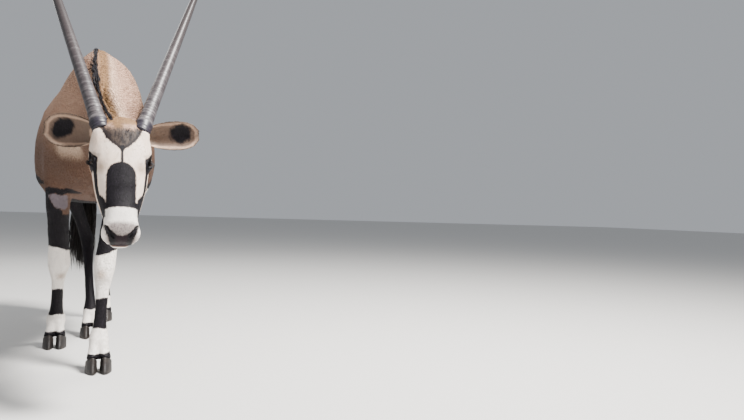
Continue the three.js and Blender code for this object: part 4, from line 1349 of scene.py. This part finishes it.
# %% Plant the mane
MANE_LINE = np.array(CREST) / 1000.0
MANE_REACH = 0.012
MANE_PART = 20
MANE_TUFTS = 3000
MANE_RISE = [0.0, 0.0, 0.22]

on_crest = (along_path(middles, MANE_LINE)[0] < MANE_REACH) & (head_share(middles) < 0.97)
crest_gap, crest_run, _ = along_path(body_places, MANE_LINE)
bed = skin.data.copy()
bed.attributes["coat_part"].data.foreach_set(
    "value", np.where(on_crest, MANE_PART, -1).astype(np.int32))
bed.attributes["lie"].data.foreach_set("vector", (crest_run + MANE_RISE).ravel().astype(np.float32))
bed.attributes["length"].data.foreach_set(
    "value", (1.0 - 0.5 * ramp(crest_gap, 0.003, MANE_REACH)).astype(np.float32))
mane_area = areas[on_crest].sum()
mane = plant("mane", bed, Tuft=LONG_TUFT, Part=MANE_PART, Density=MANE_TUFTS / mane_area,
             Length=0.026, Width=0.0030, Slant=0.16, Scatter=0.07, Seed=71, Finish=tuft_finish)
bpy.data.meshes.remove(bed)
print("mane", len(triangles_of(mane.data)), "triangles")

# %% [markdown]
# ## The tail's plume
# The last half of the tail carries long coarse hair. Each strand is rooted on the bony part, swells
# out a little and falls to its own length, so that the plume is full in the middle and wispy at the
# end. The strands are built along bent paths, as long blades.

# %% Tail plume
PLUME_STRANDS = 3000
PLUME_TIP = np.array([-50, 1028, 200]) / 1000.0 - ORIGIN
PLUME_WIDTH = 0.0042
DOCK_BEHIND, DOCK_BELOW = 1.0, 0.90          # the skin that lies past both is the dock's


def strands(name, roots, bends, tips, widths, map_places, steps=6):
    """Long three-sided blades along bent paths, one for each root."""
    draw = np.random.default_rng(5)
    count = len(roots)
    shares = np.linspace(0.0, 1.0, steps)
    corners = np.zeros((count, 3 * (steps - 1) + 1, 3))
    along = tips - roots
    flat = np.cross(along, draw.normal(size=(count, 3)))
    flat /= np.linalg.norm(flat, axis=1)[:, None]
    thick = np.cross(along, flat)
    thick /= np.linalg.norm(thick, axis=1)[:, None]
    for i, t in enumerate(shares[:-1]):
        centre = (1 - t) ** 2 * roots + 2 * t * (1 - t) * bends + t * t * tips
        half = widths[:, None] * 0.5 * math.sqrt(1 - t * t)
        corners[:, 3 * i] = centre - flat * half
        corners[:, 3 * i + 1] = centre + flat * half
        corners[:, 3 * i + 2] = centre + thick * half * 0.7
    corners[:, -1] = tips
    size = corners.shape[1]
    one = np.array([(face[0], face[k], face[k + 1]) for face in blade_faces(steps - 1)
                    for k in range(1, len(face) - 1)])
    faces = (one[None] + (np.arange(count) * size)[:, None, None]).reshape(-1, 3)
    made = make_object(name, corners.reshape(-1, 3), faces)
    tip = np.tile(np.concatenate([np.repeat(shares[:-1], 3), [1.0]]), count)
    put_floats(made.data, "tip", tip)
    put_floats(made.data, "shade", np.repeat(draw.random(count), size))
    loops = np.zeros(len(made.data.loops), np.int32)
    made.data.loops.foreach_get("vertex_index", loops)
    layer = made.data.uv_layers.new(name="OFBake")
    spots = np.repeat(map_places, size, axis=0)[loops]
    spots = spots + PATCH * np.stack([tip[loops] - 0.5, (loops % 3) / 3.0 - 0.3], axis=1)
    layer.data.foreach_set("uv", spots.ravel().astype(np.float32))
    return smooth_shaded(made)


def corner_map():
    """One place on the skin's map for each of its corners."""
    loops = np.zeros(len(skin.data.loops), np.int32)
    skin.data.loops.foreach_get("vertex_index", loops)
    spots = np.zeros(len(loops) * 2)
    skin.data.uv_layers["OFBake"].data.foreach_get("uv", spots)
    places = np.zeros((len(skin_corners), 2))
    places[loops] = spots.reshape(-1, 2)
    return places


skin_map = corner_map()
draw = np.random.default_rng(17)
on_dock = (body_places[:, 1] > DOCK_BEHIND) & (body_places[:, 2] < DOCK_BELOW)
picked = draw.choice(np.where(on_dock)[0], PLUME_STRANDS)
roots = skin_corners[picked] - 0.003 * skin_normals[picked]
share = ramp(body_places[picked, 2], 0.66, 0.90)
around = draw.random(PLUME_STRANDS) * 2 * math.pi
circle = np.stack([np.cos(around), np.sin(around), 0 * around], axis=1)
out = skin_normals[picked] * 0.7 + 0.5 * circle
out[:, 2] = 0.0
reach = 0.012 + 0.052 * draw.random(PLUME_STRANDS) * (1 - 0.3 * share)
tips = PLUME_TIP + out * reach[:, None]
tips[:, 2] = PLUME_TIP[2] + 0.22 * share + 0.20 * draw.random(PLUME_STRANDS) ** 2.2
swell = 0.030 + 0.016 * draw.random(PLUME_STRANDS)
bends = roots * 0.55 + tips * 0.45 + out * swell[:, None]
plume = strands("plume_hair", roots, bends, tips,
                PLUME_WIDTH * (0.7 + 0.6 * draw.random(PLUME_STRANDS)), skin_map[picked])
print("plume", len(plume.data.polygons), "triangles")

# %% [markdown]
# ## Lashes
# Long black lashes stand on the edge of each upper lid, longest over the middle of the eye, and
# a few short ones on the lower lid. They are the same kind of strand as the plume's.

# %% Lashes
LASHES = 170
LASH_LENGTH = 0.0165
LASH_WIDTH = 0.0015
LASHES_ABOVE = 0.78                          # share of the lashes that stand on the upper lid


def make_lashes(name, side):
    look, slit, up = eye_axes(side)
    eye_centre = EYE_AT * [side, 1, 1]
    draw = np.random.default_rng(31 + side)
    place = draw.uniform(-0.82, 0.92, LASHES)
    upper = np.where(draw.random(LASHES) < LASHES_ABOVE, 1.0, -1.0)
    arch = np.where(upper > 0, LID_ARCH["upper"], -LID_ARCH["lower"]) * (1 - place ** 2)
    along, across = place * SLIT_HALF / EYE_RADIUS, (arch + upper * 0.0014) / EYE_RADIUS
    spread = np.hypot(along, across)
    ring = np.sin(spread) / np.maximum(spread, 1e-6)
    out = look * np.cos(spread)[:, None] + slit * (along * ring)[:, None]
    out = out + up * (across * ring)[:, None]
    roots = eye_centre + out * (EYE_RADIUS + 0.0012)
    aim = out + np.array([0.85 * side, 0.0, 0.1]) + up * (0.15 * upper)[:, None]
    aim = aim + slit * (0.35 * place + draw.normal(0, 0.08, LASHES))[:, None]
    aim /= np.linalg.norm(aim, axis=1)[:, None]
    length = LASH_LENGTH * np.where(upper > 0, 1.0, 0.5) * (1 - 0.45 * place ** 2)
    length = (length * draw.uniform(0.75, 1.1, LASHES))[:, None]
    bends = roots + aim * length * 0.55
    tips = roots + (aim + up * (0.40 * upper)[:, None]) * length * 0.9
    nearest = np.argmin(np.linalg.norm(skin_corners - from_head(eye_centre), axis=1))
    return strands(name, from_head(roots), from_head(bends), from_head(tips),
                   np.full(LASHES, LASH_WIDTH), np.tile(skin_map[nearest], (LASHES, 1)))


lashes = {side: make_lashes("lashes_" + word, side) for word, side in SIDES.items()}
print("lashes", sum(len(lash.data.polygons) for lash in lashes.values()), "triangles")

# %% [markdown]
# ## Long coarse hair
# The plume is black with a brown cast where light comes through it. Its gloss is stronger than
# the short coat's. Each strand has its own shade.

# %% Plume material
def plume_surface(tree):
    shine = maths(tree, "MULTIPLY", stored(tree, "shade"), stored(tree, "tip"))
    colour = tones(tree, shine, [(0.0, (0.004, 0.0036, 0.004, 1)), (1.0, (0.016, 0.011, 0.009, 1))])
    return {"Base Color": colour, "Roughness": 0.50, "Specular IOR Level": 0.22}


long_hair = new_material("black tail hair", plume_surface)
for piece in [plume, *lashes.values()]:
    piece.data.materials.append(long_hair)
print("plume finish:", plume.data.materials[0].name)

# %% [markdown]
# ## Horns
# Each horn is nearly straight. The lower half carries rings that fade upwards, the rest is smooth
# and ends in a sharp point. A row of circles along the horn's line gives the shape, and each
# circle's radius is the taper plus the rings, which lean and waver a little as real ones do.

# %% Horns
HORN_LENGTH = 0.950
HORN_RADIUS = 0.0225
HORN_ROOT = (0.054, 0.034, -0.006)
HORN_LEAN = 15.0                             # degrees backwards
HORN_SPREAD = {1: 16.8, -1: 13.2}            # degrees out from the middle plane, left and right
HORN_BOW = (-0.005, 0.022, -0.006)           # how far the middle leaves the straight line
HORN_RINGS = 19
HORN_RINGED = 0.36                           # share of the length that the rings take up
RING_RISE = 0.0021
HORN_ROWS, HORN_SIDES = 420, 48


def make_horn(name, side):
    lean, spread = math.radians(HORN_LEAN), math.radians(HORN_SPREAD[side])
    aim = np.array([side * math.sin(spread), math.cos(spread) * math.sin(lean),
                    math.cos(spread) * math.cos(lean)])
    across = np.cross([0.0, 1.0, 0.0], aim)
    across /= np.linalg.norm(across)
    back = np.cross(aim, across)
    root, bow = (np.array(place) * [side, 1, 1] for place in (HORN_ROOT, HORN_BOW))
    t = np.linspace(0.0, 1.0, HORN_ROWS)[:, None]
    angle = (np.arange(HORN_SIDES) / HORN_SIDES * 2 * math.pi)[None]
    taper = (1 - 0.5 * t) * (1 - t ** 6) ** 0.8 + 0.03 * t
    wave = t / HORN_RINGED
    phase = HORN_RINGS * np.minimum(wave, 1.25) ** 0.90
    phase = phase + 0.22 * np.sin(1.9 * phase + side) + 0.13 * np.sin(4.7 * phase)
    waver = 0.12 * np.sin(2 * angle + 5 * phase)
    phase = phase + waver + 0.07 * np.sin(3 * angle + 1.7 * phase + side)
    ring = (0.5 + 0.5 * np.cos(2 * math.pi * phase)) ** 1.8
    fade = np.clip(1.08 - wave, 0, 1) ** 1.1
    strength = 0.62 + 0.38 * np.sin(11 * np.floor(phase + 0.5) + 2 * side)
    front = 0.72 + 0.28 * np.cos(angle + math.pi / 2)
    furrow = 0.00022 * np.sin(23 * angle + 3 * t * 10) * (1 - t)
    furrow = furrow + 0.0006 * np.sin(5 * angle + 9 * phase) * np.exp(-t * HORN_LENGTH / 0.03)
    cuff = 0.0022 * np.exp(-((t * HORN_LENGTH - 0.040) / 0.009) ** 2)
    cuff = cuff + 0.0026 * np.exp(-(t * HORN_LENGTH / 0.075) ** 2)
    ringed = RING_RISE * (ring - 0.40) * fade * strength * front
    radius = HORN_RADIUS * taper + ringed + furrow + cuff
    centre = root + aim * HORN_LENGTH * t + bow * 4 * t * (1 - t)
    points = (centre[:, None] + across * (radius * np.cos(angle))[..., None]
              + back * (radius * np.sin(angle) * 1.04)[..., None]).reshape(-1, 3)
    horn = make_object(name, from_head(points), tube_faces(HORN_ROWS, HORN_SIDES))
    put_floats(horn.data, "up_horn", np.repeat(t[:, 0], HORN_SIDES))
    put_floats(horn.data, "ring", (ring * fade * ramp(t, 0.035, 0.06)).ravel())
    return smooth_shaded(horn)


horns = {side: make_horn(f"horn_{word}_shape", side) for word, side in SIDES.items()}
print("horns", sum(len(horn.data.polygons) for horn in horns.values()), "faces")

# %% [markdown]
# ## Horn finish
# Horn is grey-brown and dusty in the ringed part, with worn light crests and dark grooves, and
# nearly black and polished towards the tip. Fine streaks run lengthwise.

# %% Horn material
PALE_LINES = (0.20, 0.182, 0.185, 1)
WORN_CREST = (0.115, 0.100, 0.102, 1)
DARK_CUFF = (0.015, 0.012, 0.019, 1)
UP_THE_HORN = [(0.036, (0.018, 0.015, 0.022, 1)), (0.048, (0.090, 0.080, 0.083, 1)),
               (0.066, (0.027, 0.022, 0.025, 1)), (0.40, (0.037, 0.030, 0.031, 1)),
               (0.75, (0.028, 0.023, 0.023, 1)), (0.97, (0.012, 0.010, 0.010, 1))]


def horn_surface(tree):
    place, up = object_place(tree), stored(tree, "up_horn")
    streak = noise_of(tree, place, 260.0, 3.0, (1.0, 1.0, 0.12))
    dust = noise_of(tree, place, 55.0, 4.0)
    along = add_node(tree, "ShaderNodeCombineXYZ", {"X": maths(tree, "MULTIPLY", up, 95.0)})
    wobbled = add_node(tree, "ShaderNodeVectorMath", {0: along.outputs[0], 1: place},
                       operation="ADD")
    growth = soft_step(tree, noise_of(tree, wobbled.outputs[0], 1.0, 2.0), 0.53, 0.70)
    lined = maths(tree, "MULTIPLY", growth, straight(tree, up, 0.03, 0.60, 0.55, 0.0))
    colour = mix(tree, lined, tones(tree, up, UP_THE_HORN), PALE_LINES)
    worn = maths(tree, "MULTIPLY", stored(tree, "ring"), dust)
    colour = mix(tree, worn, colour, WORN_CREST)
    colour = mix(tree, soft_step(tree, up, 0.030, 0.044), DARK_CUFF, colour)
    return {"Base Color": brightened(tree, colour, maths(tree, "ADD", streak, 0.55)),
            "Roughness": straight(tree, up, 0.1, 0.8, 0.46, 0.26),
            "Normal": bump(tree, streak, 0.35, 0.0008)}


horn_finish = new_material("ringed horn", horn_surface)
for horn in horns.values():
    horn.data.materials.append(horn_finish)
print("horn finish set")

# %% [markdown]
# ## Eyes
# The eye is a ball with a slightly raised cornea. Its pupil is a lying oval, as in all antelopes,
# in a very dark brown iris. The pattern is stored on the ball's corners, so it never slides.

# %% Eyes
EYE_ROWS, EYE_SIDES = 40, 56
CORNEA_RISE = 0.0011
PUPIL_LONG, PUPIL_SHORT = 4.2, 7.5           # millimetres, for the two stored measures


def make_eye(name, side):
    look, long, _ = eye_axes(side)
    short = np.cross(look, long)
    polar = np.linspace(0.0, math.pi, EYE_ROWS)[1:-1, None]
    turn = (np.arange(EYE_SIDES) / EYE_SIDES * 2 * math.pi)[None]
    raised = EYE_RADIUS + CORNEA_RISE * (1 - ramp(polar, 0.35, 0.75))
    local = np.broadcast_arrays(raised * np.sin(polar) * np.cos(turn),
                                raised * np.sin(polar) * np.sin(turn), raised * np.cos(polar))
    local = np.stack(local, axis=-1).reshape(-1, 3)
    local = np.concatenate([local, [[0, 0, raised[0, 0]], [0, 0, -EYE_RADIUS]]])
    points = EYE_AT * [side, 1, 1] + local @ np.stack([long, short, look])
    faces = [(a, d, c, b) for a, b, c, d in ring_faces(EYE_ROWS - 2, EYE_SIDES)]
    top, bottom, last = len(local) - 2, len(local) - 1, (EYE_ROWS - 3) * EYE_SIDES
    for k in range(EYE_SIDES):
        n = (k + 1) % EYE_SIDES
        faces += [(top, k, n), (bottom, last + n, last + k)]
    eye = make_object(name, from_head(points), faces)
    put_floats(eye.data, "eye_long", local[:, 0] * 1000)
    put_floats(eye.data, "eye_short", local[:, 1] * 1000)
    return smooth_shaded(eye)


def eye_surface(tree):
    across = maths(tree, "DIVIDE", stored(tree, "eye_short"), PUPIL_SHORT)
    along = maths(tree, "DIVIDE", stored(tree, "eye_long"), PUPIL_LONG)
    oval = add_node(tree, "ShaderNodeCombineXYZ", {"X": across, "Y": along})
    far = add_node(tree, "ShaderNodeVectorMath", {0: oval.outputs[0]}, operation="LENGTH")
    colour = tones(tree, maths(tree, "DIVIDE", far.outputs["Value"], 3.0),
                   [(0.30, (0.002, 0.002, 0.003, 1)), (0.40, (0.035, 0.014, 0.006, 1)),
                    (0.85, (0.008, 0.005, 0.004, 1))])
    return {"Base Color": colour, "Roughness": 0.12, "Specular IOR Level": 0.30,
            "Coat Weight": 0.12, "Coat Roughness": 0.03}


eyes = {side: make_eye(f"eye_{word}_ball", side) for word, side in SIDES.items()}
eye_finish = new_material("wet dark eye", eye_surface)
for eye in eyes.values():
    eye.data.materials.append(eye_finish)
print("eyes", len(eyes))

# %% [markdown]
# ## Hooves
# The eight half-hooves are taken from their solids, remeshed finely and faired, so that the
# coronet and the toe are round while the sole stays flat on the floor.

# %% Hooves
HOOF_VOXEL = 0.0022
HOOF_ROUNDS = 14
SOLE = 0.0012                                # metres: what lies lower is brought to the floor
HOOF_NODES = [f"{foot}_{side}_{place}" for foot in ("forehoof", "hindhoof")
              for side in SIDES for place in ("inner", "outer")]


def make_hoof(node_name):
    points, triangles = node_arrays(node_name)
    hoof = make_object(node_name + "_shell", points, triangles)
    modifier = hoof.modifiers.new("fine", "REMESH")
    modifier.mode = "VOXEL"
    modifier.voxel_size = HOOF_VOXEL
    plain_copy(hoof)
    split = hoof.modifiers.new("triangles", "TRIANGULATE")
    split.quad_method = "SHORTEST_DIAGONAL"
    plain_copy(hoof)
    corners, faces = corners_of(hoof.data), triangles_of(hoof.data)
    corners = fair(corners, faces, 0.8 * ramp(corners[:, 2], 0.001, 0.008), HOOF_ROUNDS)
    corners[:, 2] = np.where(corners[:, 2] < SOLE, 0.0, corners[:, 2])
    hoof.data.vertices.foreach_set("co", corners.ravel())
    hoof.data.update()
    return smooth_shaded(hoof)


def hoof_surface(tree):
    place = object_place(tree)
    bands = noise_of(tree, place, 240.0, 3.0, (0.25, 0.25, 1.0))
    colour = tones(tree, bands, [(0.30, (0.006, 0.005, 0.005, 1)),
                                 (0.75, (0.022, 0.017, 0.015, 1))])
    dusty = straight(tree, noise_of(tree, place, 30.0, 4.0), 0.45, 0.75, 0.0, 0.3)
    return {"Base Color": mix(tree, dusty, colour, (0.07, 0.050, 0.036, 1)), "Roughness": 0.55,
            "Normal": bump(tree, bands, 0.4, 0.001)}


hoof_finish = new_material("dull dark hoof", hoof_surface)
hooves = {node_name: make_hoof(node_name) for node_name in HOOF_NODES}
for hoof in hooves.values():
    hoof.data.materials.clear()
    hoof.data.materials.append(hoof_finish)
print("hooves", len(hooves), "with",
      sum(len(hoof.data.polygons) for hoof in hooves.values()), "triangles")

# %% [markdown]
# ## Who rides on what
# The model has no joints, so every piece rides on the one body, and the solids that the pieces
# stand for are hidden. The tuft templates are taken away.

# %% Tie the pieces to the body and hide the solids
FLESH_NODES = FLESH + ["tail"]
for piece in [skin, plume, mane, *coat, *lashes.values(), *horns.values(), *eyes.values(),
              *hooves.values()]:
    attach(piece, "root")
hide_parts(*FLESH_NODES)
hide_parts("tail_plume")
for word, side in SIDES.items():
    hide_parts("horn_" + word)
    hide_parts("eye_" + word)
for node_name, hoof in hooves.items():
    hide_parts(node_name)
for template in (SHORT_TUFT, LONG_TUFT):
    bpy.data.objects.remove(template)
print("pieces tied")

# %% [markdown]
# ## Floor and light
# A plain pale floor runs to the horizon. The light is soft: a wide key from above and a little
# to the right, where the sun stood, a weak fill from the left, and a pale sky all round.

# %% Studio
FLOOR_HALF = 40                              # metres
FLOOR_LOOK = {"Base Color": (0.62, 0.61, 0.59, 1), "Roughness": 0.85}

floor = make_object("floor", [(x * FLOOR_HALF, y * FLOOR_HALF, 0)
                              for x, y in ((-1, -1), (1, -1), (1, 1), (-1, 1))], [(0, 1, 2, 3)])
floor.data.materials.append(new_material("pale floor", lambda tree: FLOOR_LOOK))


def area_light(name, place, target, size, power, colour):
    light = bpy.data.lights.new(name, "AREA")
    light.size = size
    light.energy = power
    light.color = colour
    holder = bpy.data.objects.new(name, light)
    bpy.context.scene.collection.objects.link(holder)
    holder.location = place
    holder.rotation_euler = (Vector(target) - Vector(place)).to_track_quat("-Z", "Y").to_euler()


area_light("key", (1.8, -1.7, 4.4), (0.0, -0.2, 0.8), 1.1, 1000, (1.0, 0.975, 0.945))
area_light("fill", (-3.2, -3.0, 1.8), (0.0, -0.2, 0.7), 2.5, 22, (0.93, 0.96, 1.0))
area_light("back", (-1.0, 3.6, 3.2), (0.0, 0.2, 0.8), 2.5, 60, (1.0, 0.98, 0.95))
world = bpy.data.worlds.new("studio")
bpy.context.scene.world = world
world.use_nodes = True
sky = world.node_tree.nodes["Background"]
sky.inputs["Color"].default_value = (0.80, 0.84, 0.90, 1)
sky.inputs["Strength"].default_value = 0.5
print("studio ready")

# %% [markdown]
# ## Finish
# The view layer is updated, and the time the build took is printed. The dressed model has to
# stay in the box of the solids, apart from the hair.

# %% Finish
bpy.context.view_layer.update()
print("built in", round(time.time() - STARTED, 1), "s")
